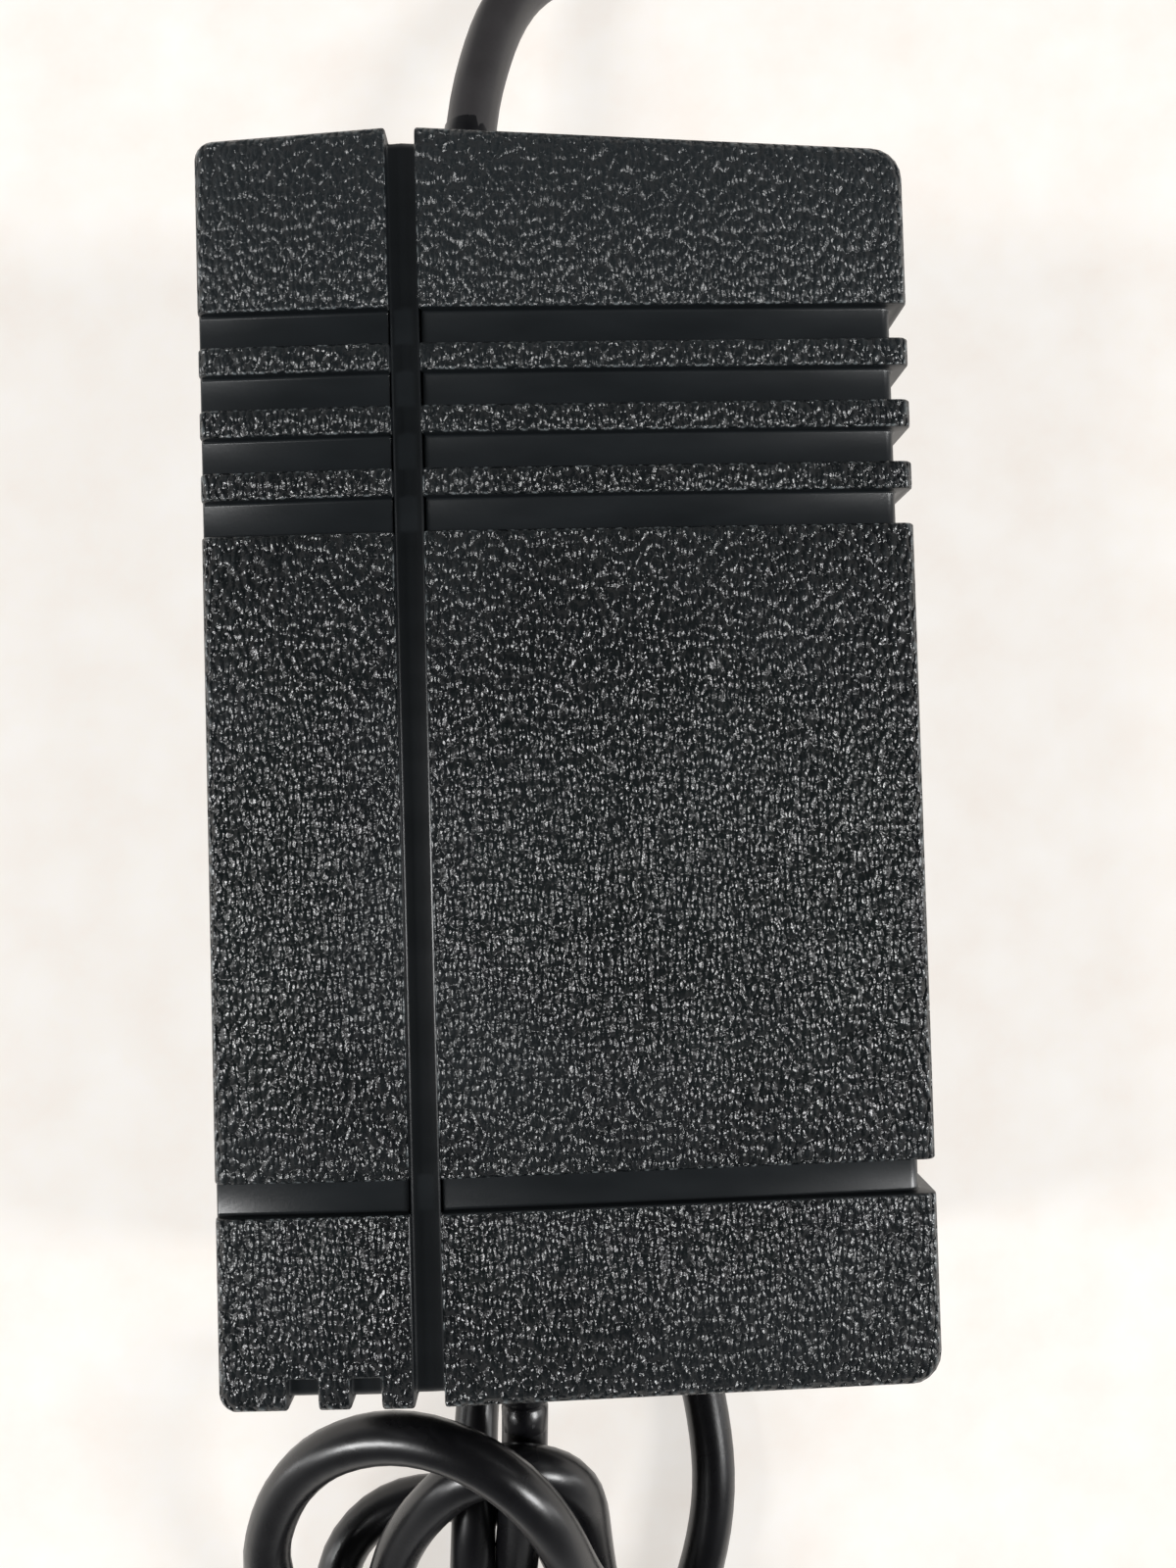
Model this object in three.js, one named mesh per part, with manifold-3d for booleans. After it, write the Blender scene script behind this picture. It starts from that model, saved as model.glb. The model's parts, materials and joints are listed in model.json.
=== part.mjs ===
// Desktop power supply with two captive cords, in millimetres, +Z up.
// Mains enters at the +Y end, the low-voltage lead leaves at the -Y end.
import * as THREE from 'three';
import { mergeVertices } from 'three/addons/utils/BufferGeometryUtils.js';
import Module from 'manifold-3d';

const wasm = await Module();
wasm.setup();

// Casing, outside
const caseWidth = 78;
const caseLength = 138.4; // flat end to the apex of the gabled end
const caseTop = 50; // ridge above the surface it stands on
const footHeight = 3;
const seamHeight = 15; // where cover and case meet
const ridgeX = -16.4;
const roofPitch = THREE.MathUtils.degToRad(1.6);
const gableAngle = THREE.MathUtils.degToRad(2.8);
const cornerRight = 3.6;
const cornerLeft = 2.2;
const topEdge = 1.1;
const bottomEdge = 1.5;
const coverWall = 3;
const floorWall = 2.5;
const lipWall = 1.2;
const lipRise = 2;

// Grooves moulded in the cover
const ridgeGroove = { width: 3.2, depth: 1.5, endDepth: 1 };
const crossGroove = { width: 3.8, rib: 3.05, depth: 1.3, sideDepth: 1.6, count: 4 };
const crossStart = 20.2; // apex of the gable to the first cross groove
const tailGroove = { fromFlatEnd: 20.7, width: 3.6 };
const endSlot = { width: 3.35, length: 3.6, depth: 1.3, endDepth: 1, pitch: 6.75, count: 2 };

// Fastenings and supports
const seatGap = 0.3; // running clearance between neighbours
const caseScrew = { inX: 10, inY: 12.2, shank: 1.5, head: 3, headHeight: 2.2, sunk: 6, length: 24 };
const bossWall = 2.7;
const foot = { inX: 10, inY: 27, radius: 6, recess: 0.8 };
const label = { width: 46, length: 60, thickness: 0.2, recess: 0.5 };
const standoff = { inX: 4, inY: 3, radius: 3.2, height: 5, hole: 1.3 };
const boardScrew = { shank: 1, head: 2.6, headHeight: 1.8, length: 5 };

// Circuit board
const caseWall = coverWall + seatGap + lipWall; // the case is thicker, to carry the lip
const boardRoom = { side: 4.5, end: 13.7 }; // between the case's inside and the board's edges
const board = {
  width: caseWidth - 2 * (caseWall + boardRoom.side),
  length: caseLength - 2 * (caseWall + boardRoom.end),
  thickness: 1.6,
};
const caseFloor = footHeight + floorWall;
const boardBottom = caseFloor + standoff.height;
const boardTop = boardBottom + board.thickness;
const sheet = { fromStandoff: 1.8, fromEnd: 1, thickness: 0.4 };

// Components, placed from the middle or from the edges of the board
const right = board.width / 2;
const left = -board.width / 2;
const top = board.length / 2;
const bottom = -board.length / 2;
const fuse = { x: right - 16, y: top - 8, rise: 5, radius: 2.6, length: 20, cap: 5, clipInset: 3.5 };
const clip = { wall: 0.6, width: 4 };
const inrush = { x: left + 5.5, y: top - 6, radius: 4.5, thickness: 4, rise: 7.5 };
const lineFilter = { x: -12, y: 34, middle: 5.5, thickness: 6 };
const filmBox = { x: 11, y: 33, width: 22, depth: 8, height: 14 };
const bridge = { x: 4, y: 22, width: 14, depth: 4.4, height: 11, lift: 3, pitch: 8 };
const bulk = { x: -17, y: 16, radius: 9, height: 31 };
const primarySink = { x: right - 2, y: 0, length: 34, height: 27, thickness: 2.4 };
const outputSink = { x: left + 2, y: -31, length: 28, height: 24, thickness: 2.4 };
const sinkToe = 3;
const transistor = {
  width: 10.2,
  body: 9,
  tab: 6.4,
  thickness: 4.4,
  tabThickness: 1.3,
  legs: 4,
  legInset: 2.4,
  pitch: 2.54,
  gauge: 0.9,
  screw: 1.5,
  holeHeight: 16,
};
const core = { x: -3, y: -9, width: 34, depth: 15, leg: 5, middle: 10, back: 5, height: 12 };
const bobbin = { width: 23, height: 26, wall: 1.2, stand: 1 };
const controlChip = { x: right - 10, y: bottom + 27, width: 10, pins: 4 };
const couplerChip = { x: right - 19.5, y: bottom + 21, width: 5, pins: 2 };
const chipBody = { depth: 6.4, height: 3, lift: 0.8, pitch: 2.54 };
const storeChoke = { x: left + 15.8, y: bottom + 14, middle: 5, thickness: 5.5 };
const outputCans = { radius: 4.5, height: 19 };
const outputCanPlaces = [[right - 18.6, bottom + 8], [right - 9, bottom + 8], [right - 9, bottom + 17.6]];
const pads = { inset: 4, live: -4, neutral: -10, positive: -4, ground: -12 };
const touch = 0.1; // between pieces that are pressed or bolted together

// Cords: each has its own diameter, exit and strain relief
const mains = { diameter: 7, x: -11, neck: 5, flange: 6.4, tip: 4.2, reach: 19 };
const output = { diameter: 6.2, x: -8, neck: 4.6, flange: 6, tip: 3.8, reach: 19 };
const flangeThickness = 2;
const coil = { x: 2.4, y: 169.5, middle: 38, turnHeight: 25.3, columns: 2 };
const tie = { width: 8, thickness: 1.2 };

const materials = {
  cover: finish(0x1b1d20, 0.5),
  foot: finish(0x141415, 0.85),
  steel: finish(0xb9bcc0, 0.3, 1),
  nickel: finish(0xc9c7c0, 0.22, 1),
  aluminium: finish(0xa9acb0, 0.4, 1),
  label: finish(0xb4b6b8, 0.45),
  board: finish(0xa88a4a, 0.5),
  sheet: finish(0xd9cfae, 0.8),
  ferrite: finish(0x2c2d30, 0.55),
  tape: finish(0xc8a22a, 0.4),
  copper: finish(0xb5642c, 0.35, 1),
  sleeve: finish(0x1d2c4a, 0.35),
  epoxy: finish(0x18181a, 0.45),
  film: finish(0xb98f1c, 0.4),
  disc: finish(0x2a3f2c, 0.6),
  glass: finish(0xd8dcdc, 0.15),
  cord: finish(0x17181a, 0.38),
  tie: finish(0x101011, 0.5),
  brown: finish(0x6b3f23, 0.45),
  blue: finish(0x2b5fa6, 0.45),
  red: finish(0xb3261e, 0.45),
  black: finish(0x1a1a1a, 0.45),
};

function finish(color, roughness, metalness = 0) {
  return new THREE.MeshStandardMaterial({ color, roughness, metalness });
}

// Geometry helpers

function solidOf(geometry) {
  const bare = geometry.clone();
  bare.deleteAttribute('normal');
  bare.deleteAttribute('uv');
  const merged = mergeVertices(bare, 1e-4);
  const vertProperties = new Float32Array(merged.attributes.position.array);
  const triVerts = new Uint32Array(merged.index.array);
  return new wasm.Manifold(new wasm.Mesh({ numProp: 3, vertProperties, triVerts }));
}

function geometryOf(solid) {
  const mesh = solid.getMesh();
  const geometry = new THREE.BufferGeometry();
  const position = new THREE.BufferAttribute(new Float32Array(mesh.vertProperties), 3);
  geometry.setAttribute('position', position);
  geometry.setIndex(new THREE.BufferAttribute(new Uint32Array(mesh.triVerts), 1));
  geometry.computeVertexNormals();
  return geometry;
}

function boxBetween(low, high) {
  const size = [0, 1, 2].map((i) => high[i] - low[i]);
  const middle = [0, 1, 2].map((i) => (high[i] + low[i]) / 2);
  return new THREE.BoxGeometry(...size).translate(...middle);
}

function post(radius, bottom, top, x = 0, y = 0, sides = 20) {
  const geometry = new THREE.CylinderGeometry(radius, radius, top - bottom, sides);
  return geometry.rotateX(Math.PI / 2).translate(x, y, (top + bottom) / 2);
}

function rodAlongX(radius, from, to, y, z, sides = 16) {
  const geometry = new THREE.CylinderGeometry(radius, radius, to - from, sides);
  return geometry.rotateZ(Math.PI / 2).translate((from + to) / 2, y, z);
}

function rodAlongY(radius, from, to, x, z, sides = 24) {
  const geometry = new THREE.CylinderGeometry(radius, radius, to - from, sides);
  return geometry.translate(x, (from + to) / 2, z);
}

function joined(...geometries) {
  return geometryOf(geometries.map(solidOf).reduce((sum, next) => sum.add(next)));
}

function cut(body, ...tools) {
  return geometryOf(tools.map(solidOf).reduce((rest, tool) => rest.subtract(tool), solidOf(body)));
}

function kept(body, region) {
  return geometryOf(solidOf(body).intersect(solidOf(region)));
}

// Extrudes a plan outline upwards from bottom to top.
function plate(points, bottom, top) {
  const shape = new THREE.Shape(points.map(([x, y]) => new THREE.Vector2(x, y)));
  const geometry = new THREE.ExtrudeGeometry(shape, { depth: top - bottom, bevelEnabled: false });
  return geometry.translate(0, 0, bottom);
}

// Extrudes an outline drawn in X and Z along Y.
function profileAlongY(points, from, to) {
  const shape = new THREE.Shape(points.map(([x, z]) => new THREE.Vector2(x, z)));
  const geometry = new THREE.ExtrudeGeometry(shape, { depth: to - from, bevelEnabled: false });
  return geometry.rotateX(Math.PI / 2).translate(0, to, 0);
}

// Extrudes an outline drawn in Y and Z along X.
function profileAlongX(points, from, to) {
  const shape = new THREE.Shape(points.map(([y, z]) => new THREE.Vector2(y, z)));
  const geometry = new THREE.ExtrudeGeometry(shape, { depth: to - from, bevelEnabled: false });
  return geometry.rotateX(Math.PI / 2).rotateZ(Math.PI / 2).translate(from, 0, 0);
}

function arcPoints(x, y, radius, fromDegrees, toDegrees, steps) {
  const points = [];
  for (let i = 0; i <= steps; i += 1) {
    const angle = THREE.MathUtils.degToRad(fromDegrees + ((toDegrees - fromDegrees) * i) / steps);
    points.push([x + radius * Math.cos(angle), y + radius * Math.sin(angle)]);
  }
  return points;
}

function roundedRectangle(width, height, radius, x = 0, y = 0) {
  const right = x + width / 2 - radius;
  const left = x - width / 2 + radius;
  const top = y + height / 2 - radius;
  const bottom = y - height / 2 + radius;
  return [
    ...arcPoints(right, bottom, radius, -90, 0, 4),
    ...arcPoints(right, top, radius, 0, 90, 4),
    ...arcPoints(left, top, radius, 90, 180, 4),
    ...arcPoints(left, bottom, radius, 180, 270, 4),
  ];
}

// A tube of the given diameter along a smooth curve through the points.
function tube(points, diameter, steps, sides = 10) {
  const curve = new THREE.CatmullRomCurve3(points.map((p) => new THREE.Vector3(...p)));
  const section = new THREE.Shape(
    arcPoints(0, 0, diameter / 2, 0, 360 - 360 / sides, sides - 1).map(
      ([x, y]) => new THREE.Vector2(x, y),
    ),
  );
  return new THREE.ExtrudeGeometry(section, { steps, extrudePath: curve, bevelEnabled: false });
}

// Casing outline and lofts

function roofAt(x) {
  return caseTop - Math.abs(x - ridgeX) * Math.tan(roofPitch);
}

function gableAt(x) {
  return caseLength / 2 - Math.abs(x - ridgeX) * Math.tan(gableAngle);
}

function filletCorner(before, corner, after, radius, steps) {
  const inward = before.clone().sub(corner).normalize();
  const outward = after.clone().sub(corner).normalize();
  const half = inward.angleTo(outward) / 2;
  const bisector = inward.clone().add(outward).normalize();
  const centre = corner.clone().addScaledVector(bisector, radius / Math.sin(half));
  const start = corner.clone().addScaledVector(inward, radius / Math.tan(half)).sub(centre);
  const sweep = Math.PI - 2 * half;
  const points = [];
  for (let i = 0; i <= steps; i += 1) {
    points.push(start.clone().rotateAround(new THREE.Vector2(), (sweep * i) / steps).add(centre));
  }
  return points;
}

// The plan outline, anticlockwise from the ridge at the flat end, moved in by each inset.
function caseOutline(inset) {
  const left = -caseWidth / 2 + inset.left;
  const right = caseWidth / 2 - inset.right;
  const front = -caseLength / 2 + inset.front;
  const corners = [
    new THREE.Vector2(ridgeX, front),
    new THREE.Vector2(right, front),
    new THREE.Vector2(right, gableAt(right) - inset.back),
    new THREE.Vector2(ridgeX, caseLength / 2 - inset.back),
    new THREE.Vector2(left, gableAt(left) - inset.back),
    new THREE.Vector2(left, front),
  ];
  const softer = Math.max(0, inset.left, inset.right, inset.front, inset.back);
  const rightRadius = Math.max(0.6, cornerRight - softer);
  const leftRadius = Math.max(0.6, cornerLeft - softer);
  const fillet = (i, radius) =>
    filletCorner(corners[i - 1], corners[i], corners[(i + 1) % 6], radius, 5);
  return [
    corners[0],
    ...fillet(1, rightRadius),
    ...fillet(2, rightRadius),
    corners[3],
    ...fillet(4, leftRadius),
    ...fillet(5, leftRadius),
  ];
}

const apexIndex = 13; // ridge point, then two right corners of six points each

// Skins a stack of rings that each have the points of caseOutline.
function loft(rings) {
  const count = rings[0].length;
  const positions = rings.flat().flatMap((p) => p.toArray());
  const index = [];
  for (let ring = 0; ring < rings.length - 1; ring += 1) {
    for (let i = 0; i < count; i += 1) {
      const a = ring * count + i;
      const b = ring * count + ((i + 1) % count);
      index.push(a, b, b + count, a, b + count, a + count);
    }
  }
  const lastRing = (rings.length - 1) * count;
  const rightHalf = [...Array(apexIndex + 1).keys()];
  const leftHalf = [...rightHalf.map((_, i) => i + apexIndex).filter((i) => i < count), 0];
  for (const half of [rightHalf, leftHalf]) {
    const flat = half.map((i) => new THREE.Vector2(rings[0][i].x, rings[0][i].y));
    for (const [a, b, c] of THREE.ShapeUtils.triangulateShape(flat, [])) {
      index.push(half[c], half[b], half[a]);
      index.push(lastRing + half[a], lastRing + half[b], lastRing + half[c]);
    }
  }
  const geometry = new THREE.BufferGeometry();
  geometry.setAttribute('position', new THREE.Float32BufferAttribute(positions, 3));
  geometry.setIndex(index);
  return geometry;
}

function grown(inset, amount) {
  return Object.fromEntries(Object.entries(inset).map(([side, value]) => [side, value + amount]));
}

function allRound(inset) {
  return { left: inset, right: inset, front: inset, back: inset };
}

// A body under the pitched roof, lowered by drop, with its top edge rounded.
function roofedPrism(inset, drop, bottom, edge, steps = 3) {
  const rings = [caseOutline(inset).map((p) => new THREE.Vector3(p.x, p.y, bottom))];
  for (let i = 0; i <= steps; i += 1) {
    const angle = ((Math.PI / 2) * i) / steps;
    const outline = caseOutline(grown(inset, edge * (1 - Math.cos(angle))));
    const fall = drop + edge * (1 - Math.sin(angle));
    rings.push(outline.map((p) => new THREE.Vector3(p.x, p.y, roofAt(p.x) - fall)));
  }
  return loft(rings);
}

// A flat-topped body with its bottom edge rounded.
function flatPrism(inset, bottom, top, edge = 0, steps = 3) {
  const rings = [];
  for (let i = edge > 0 ? 0 : steps; i <= steps; i += 1) {
    const angle = ((Math.PI / 2) * i) / steps;
    const outline = caseOutline(grown(inset, edge * (1 - Math.sin(angle))));
    const z = bottom + edge * (1 - Math.cos(angle));
    rings.push(outline.map((p) => new THREE.Vector3(p.x, p.y, z)));
  }
  rings.push(caseOutline(inset).map((p) => new THREE.Vector3(p.x, p.y, top)));
  return loft(rings);
}

const beyond = 5; // how far cutting tools pass the casing

function cornerPlaces(inX, inY) {
  const places = [];
  for (const sideX of [-1, 1]) {
    for (const sideY of [-1, 1]) {
      places.push([sideX * (caseWidth / 2 - inX), sideY * (caseLength / 2 - inY)]);
    }
  }
  return places;
}

const screwPlaces = cornerPlaces(caseScrew.inX, caseScrew.inY);
const footPlaces = cornerPlaces(foot.inX, foot.inY);
const screwSeat = footHeight + caseScrew.sunk;

// Box tools over the cover, less the core that sets how deep the groove goes
function grooveTool(low, high, core, depth) {
  const tool = boxBetween([...low, seamHeight - beyond], [...high, caseTop + beyond]);
  const coreBody = roofedPrism(core, depth, seamHeight - 2 * beyond, topEdge);
  return cut(tool, coreBody);
}

function crossGrooveTool(from, width) {
  const sideOnly = { left: -beyond, right: crossGroove.sideDepth, front: -beyond, back: -beyond };
  const half = caseWidth / 2 + 2;
  return grooveTool([-half, from - width], [half, from], sideOnly, crossGroove.depth);
}

function coverTools() {
  const endsOnly = {
    left: -beyond,
    right: -beyond,
    front: ridgeGroove.endDepth,
    back: ridgeGroove.endDepth,
  };
  const tools = [
    grooveTool(
      [ridgeX - ridgeGroove.width / 2, -caseLength / 2 - 2],
      [ridgeX + ridgeGroove.width / 2, caseLength / 2 + 2],
      endsOnly,
      ridgeGroove.depth,
    ),
  ];
  for (let i = 0; i < crossGroove.count; i += 1) {
    const from = caseLength / 2 - crossStart - i * (crossGroove.width + crossGroove.rib);
    tools.push(crossGrooveTool(from, crossGroove.width));
  }
  const tailFrom = -caseLength / 2 + tailGroove.fromFlatEnd + tailGroove.width;
  tools.push(crossGrooveTool(tailFrom, tailGroove.width));
  const slotCore = { left: -beyond, right: -beyond, front: endSlot.endDepth, back: -beyond };
  for (let i = 1; i <= endSlot.count; i += 1) {
    const x = ridgeX - i * endSlot.pitch;
    tools.push(
      grooveTool(
        [x - endSlot.width / 2, -caseLength / 2 - 2],
        [x + endSlot.width / 2, -caseLength / 2 + endSlot.length],
        slotCore,
        endSlot.depth,
      ),
    );
  }
  return tools;
}

function cordHoles() {
  return [
    rodAlongY(mains.neck + seatGap, caseLength / 4, caseLength, mains.x, seamHeight),
    rodAlongY(output.neck + seatGap, -caseLength, -caseLength / 4, output.x, seamHeight),
  ];
}

function topCover() {
  const outside = roofedPrism(allRound(0), 0, seamHeight, topEdge);
  const inside = roofedPrism(allRound(coverWall), coverWall, seamHeight - beyond, 2);
  const shell = cut(outside, ...coverTools(), inside);
  const bosses = screwPlaces.map(([x, y]) =>
    post(caseScrew.shank + bossWall, seamHeight + seatGap, roofAt(x) - coverWall + 0.8, x, y),
  );
  const bores = screwPlaces.map(([x, y]) =>
    post(caseScrew.shank + seatGap, seamHeight - 1, screwSeat + caseScrew.length + 1, x, y, 12),
  );
  return cut(joined(shell, ...bosses), ...bores, ...cordHoles());
}

function standoffPlaces() {
  const x = board.width / 2 - standoff.inX;
  const y = board.length / 2 - standoff.inY;
  return [[-x, -y], [x, -y], [x, y], [-x, y]];
}

function bottomCase() {
  const outside = flatPrism(allRound(0), footHeight, seamHeight, bottomEdge);
  const inside = flatPrism(allRound(caseWall), caseFloor, seamHeight + beyond);
  const lipOuter = flatPrism(allRound(coverWall + seatGap), seamHeight - 1, seamHeight + lipRise);
  const shell = cut(joined(outside, lipOuter), inside);
  const headRoom = caseScrew.head + seatGap;
  const bosses = screwPlaces.map(([x, y]) =>
    post(headRoom + 1.4, footHeight + 1, seamHeight, x, y),
  );
  const columns = standoffPlaces().map(([x, y]) =>
    post(standoff.radius, caseFloor - 0.5, boardBottom, x, y),
  );
  const bores = screwPlaces.flatMap(([x, y]) => [
    post(headRoom, 0, screwSeat, x, y),
    post(caseScrew.shank + seatGap, 0, seamHeight + 1, x, y, 12),
  ]);
  const pilots = standoffPlaces().map(([x, y]) =>
    post(standoff.hole, caseFloor, boardBottom + 1, x, y, 12),
  );
  const footSeats = footPlaces.map(([x, y]) =>
    post(foot.radius + seatGap, 0, footHeight + foot.recess, x, y, 28),
  );
  const half = [label.width / 2 + seatGap, label.length / 2 + seatGap];
  const labelSeat = boxBetween([-half[0], -half[1], 0], [...half, footHeight + label.recess]);
  const body = joined(shell, ...bosses, ...columns);
  return cut(body, ...bores, ...pilots, ...footSeats, labelSeat, ...cordHoles());
}

// Self-tapping screw, head down, with a cross recess in its head
function caseScrewBody(x, y) {
  const headTop = screwSeat - seatGap;
  const headBottom = headTop - caseScrew.headHeight;
  const arm = caseScrew.head * 0.55;
  return cut(
    joined(
      post(caseScrew.head, headBottom, headTop, x, y),
      post(caseScrew.shank, headTop - 0.5, screwSeat + caseScrew.length, x, y, 12),
    ),
    boxBetween([x - arm, y - 0.35, headBottom - 1], [x + arm, y + 0.35, headBottom + 1]),
    boxBetween([x - 0.35, y - arm, headBottom - 1], [x + 0.35, y + arm, headBottom + 1]),
  );
}

function rubberFoot(x, y) {
  const top = footHeight + foot.recess;
  const profile = [
    [0, 0],
    [foot.radius - 0.8, 0],
    [foot.radius, 0.8],
    [foot.radius, top],
    [0, top],
  ];
  const points = profile.map(([r, z]) => new THREE.Vector2(r, z));
  return new THREE.LatheGeometry(points, 28).rotateX(Math.PI / 2).translate(x, y, 0);
}

function ratingLabel() {
  const outline = roundedRectangle(label.width, label.length, 2);
  const top = footHeight + label.recess;
  return plate(outline, top - label.thickness, top);
}

// Strain relief turned about Y: inner flange, neck through the wall, outer flange, taper
function strainRelief(cord, wallInner, wallOuter) {
  const inner = wallInner - seatGap;
  const outer = wallOuter + seatGap;
  const profile = [
    [0, inner - flangeThickness],
    [cord.flange, inner - flangeThickness],
    [cord.flange, inner],
    [cord.neck, inner],
    [cord.neck, outer],
    [cord.flange, outer],
    [cord.flange, outer + flangeThickness * 0.75],
    [cord.neck + 0.4, outer + flangeThickness],
    [cord.tip, outer + cord.reach],
    [0, outer + cord.reach],
  ];
  return new THREE.LatheGeometry(profile.map(([r, y]) => new THREE.Vector2(r, y)), 24);
}

function mainsRelief() {
  const inner = gableAt(mains.x + mains.flange) - caseWall;
  return strainRelief(mains, inner, caseLength / 2).translate(mains.x, 0, seamHeight);
}

function outputRelief() {
  const body = strainRelief(output, caseLength / 2 - caseWall, caseLength / 2);
  return body.rotateZ(Math.PI).translate(output.x, 0, seamHeight);
}

// Board and what stands on it

function circuitBoard() {
  const outline = roundedRectangle(board.width, board.length, 1.5);
  const holes = standoffPlaces().map(([x, y]) =>
    post(boardScrew.shank + seatGap, boardBottom - 1, boardTop + 1, x, y, 12),
  );
  return cut(plate(outline, boardBottom, boardTop), ...holes);
}

function insulationSheet() {
  const width = board.width - 2 * (standoff.inX + standoff.radius + sheet.fromStandoff);
  const outline = roundedRectangle(width, board.length - 2 * sheet.fromEnd, 2);
  return plate(outline, caseFloor + seatGap, caseFloor + seatGap + sheet.thickness);
}

function boardScrewBody(x, y) {
  const headBottom = boardTop + seatGap;
  const headTop = headBottom + boardScrew.headHeight;
  return cut(
    joined(
      post(boardScrew.head, headBottom, headTop, x, y, 16),
      post(boardScrew.shank, headBottom - boardScrew.length, headBottom + 0.5, x, y, 12),
    ),
    boxBetween([x - 1.6, y - 0.3, headTop - 0.7], [x + 1.6, y + 0.3, headTop + 1]),
  );
}

function can(x, y, { radius, height }) {
  const profile = [
    [0, 0],
    [radius - 0.5, 0],
    [radius, 0.8],
    [radius, 2],
    [radius - 0.5, 2.8],
    [radius, 3.6],
    [radius, height - 0.8],
    [radius - 0.8, height],
    [0, height],
  ];
  const points = profile.map(([r, z]) => new THREE.Vector2(r, z));
  return new THREE.LatheGeometry(points, 28).rotateX(Math.PI / 2).translate(x, y, boardTop);
}

function block(width, depth, height, x, y, lift = 0) {
  const low = [x - width / 2, y - depth / 2, boardTop + lift];
  return boxBetween(low, [x + width / 2, y + depth / 2, boardTop + lift + height]);
}

// A body held above the board on two round leads that stand along X
function leaded(body, x, y, spacing, rise) {
  return joined(
    body,
    post(0.4, boardTop, boardTop + rise, x - spacing / 2, y, 8),
    post(0.4, boardTop, boardTop + rise, x + spacing / 2, y, 8),
  );
}

// Chip with its two rows of legs
function chip({ x, y, width, pins }) {
  const pieces = [block(width, chipBody.depth, chipBody.height, x, y, chipBody.lift)];
  for (let i = 0; i < pins; i += 1) {
    const legX = x + (i - (pins - 1) / 2) * chipBody.pitch;
    for (const side of [-1, 1]) {
      const legY = y + side * (chipBody.depth / 2 + 0.3);
      pieces.push(block(0.8, 0.9, 2.4, legX, legY));
    }
  }
  return joined(...pieces);
}

// Wound toroid lying flat
function toroid({ x, y, middle, thickness }) {
  const ring = arcPoints(middle, thickness / 2, thickness / 2, 0, 330, 11);
  const points = [...ring, ring[0]].map(([r, z]) => new THREE.Vector2(r, z));
  return new THREE.LatheGeometry(points, 32).rotateX(Math.PI / 2).translate(x, y, boardTop);
}

function mainsFuse() {
  const from = fuse.x - fuse.length / 2;
  const to = fuse.x + fuse.length / 2;
  const z = boardTop + fuse.rise;
  return joined(
    rodAlongX(fuse.radius - 0.25, from + 1, to - 1, fuse.y, z),
    rodAlongX(fuse.radius, from, from + fuse.cap, fuse.y, z),
    rodAlongX(fuse.radius, to - fuse.cap, to, fuse.y, z),
  );
}

// Spring clip: a U that grips the fuse cap, standing on the board
function fuseClip(side) {
  const x = fuse.x + side * (fuse.length / 2 - fuse.clipInset);
  const halfGap = fuse.radius + seatGap;
  const outerHalf = halfGap + clip.wall;
  const fuseZ = boardTop + fuse.rise;
  const clipTop = fuseZ + fuse.radius + clip.wall;
  const outside = boxBetween(
    [x - clip.width / 2, fuse.y - outerHalf, boardTop],
    [x + clip.width / 2, fuse.y + outerHalf, clipTop],
  );
  const inside = boxBetween(
    [x - clip.width, fuse.y - halfGap, fuseZ - halfGap],
    [x + clip.width, fuse.y + halfGap, clipTop + 1],
  );
  return cut(outside, inside);
}

// Bent plate with a foot, standing at the board's edge and facing inwards
function heatsink(sink) {
  const inward = -Math.sign(sink.x);
  const back = sink.x - (inward * sink.thickness) / 2;
  const front = sink.x + (inward * sink.thickness) / 2;
  const toe = front + inward * sinkToe;
  const ordered = (a, b) => [Math.min(a, b), Math.max(a, b)];
  const [plateLow, plateHigh] = ordered(back, front);
  const [toeLow, toeHigh] = ordered(back, toe);
  const from = sink.y - sink.length / 2;
  const to = sink.y + sink.length / 2;
  const bore = rodAlongX(
    transistor.screw + seatGap,
    plateLow - 1,
    plateHigh + 1,
    sink.y,
    boardTop + transistor.holeHeight,
  );
  return cut(
    joined(
      boxBetween([plateLow, from, boardTop], [plateHigh, to, boardTop + sink.height]),
      boxBetween(
        [toeLow, from, boardTop + sink.height - sink.thickness],
        [toeHigh, to, boardTop + sink.height],
      ),
    ),
    bore,
  );
}

// Three-legged power device bolted flat to its heatsink
function powerDevice(sink) {
  const inward = -Math.sign(sink.x);
  const face = sink.x + inward * (sink.thickness / 2 + touch);
  const span = (depth) => [Math.min(face, face + inward * depth), Math.max(face, face + inward * depth)];
  const bodyBottom = boardTop + transistor.legs;
  const bodyTop = bodyBottom + transistor.body;
  const half = transistor.width / 2;
  const [bodyLow, bodyHigh] = span(transistor.thickness);
  const [tabLow, tabHigh] = span(transistor.tabThickness);
  const legX = face + inward * transistor.legInset;
  const legs = [-transistor.pitch, 0, transistor.pitch].map((offset) =>
    boxBetween(
      [legX - 0.3, sink.y + offset - transistor.gauge / 2, boardTop],
      [legX + 0.3, sink.y + offset + transistor.gauge / 2, bodyBottom + 0.5],
    ),
  );
  const device = joined(
    boxBetween([bodyLow, sink.y - half, bodyBottom], [bodyHigh, sink.y + half, bodyTop]),
    boxBetween(
      [tabLow, sink.y - half, bodyTop - 0.5],
      [tabHigh, sink.y + half, bodyTop + transistor.tab],
    ),
    ...legs,
  );
  const holeZ = boardTop + transistor.holeHeight;
  return cut(device, rodAlongX(transistor.screw + seatGap, face - 3, face + 3, sink.y, holeZ, 16));
}

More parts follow.
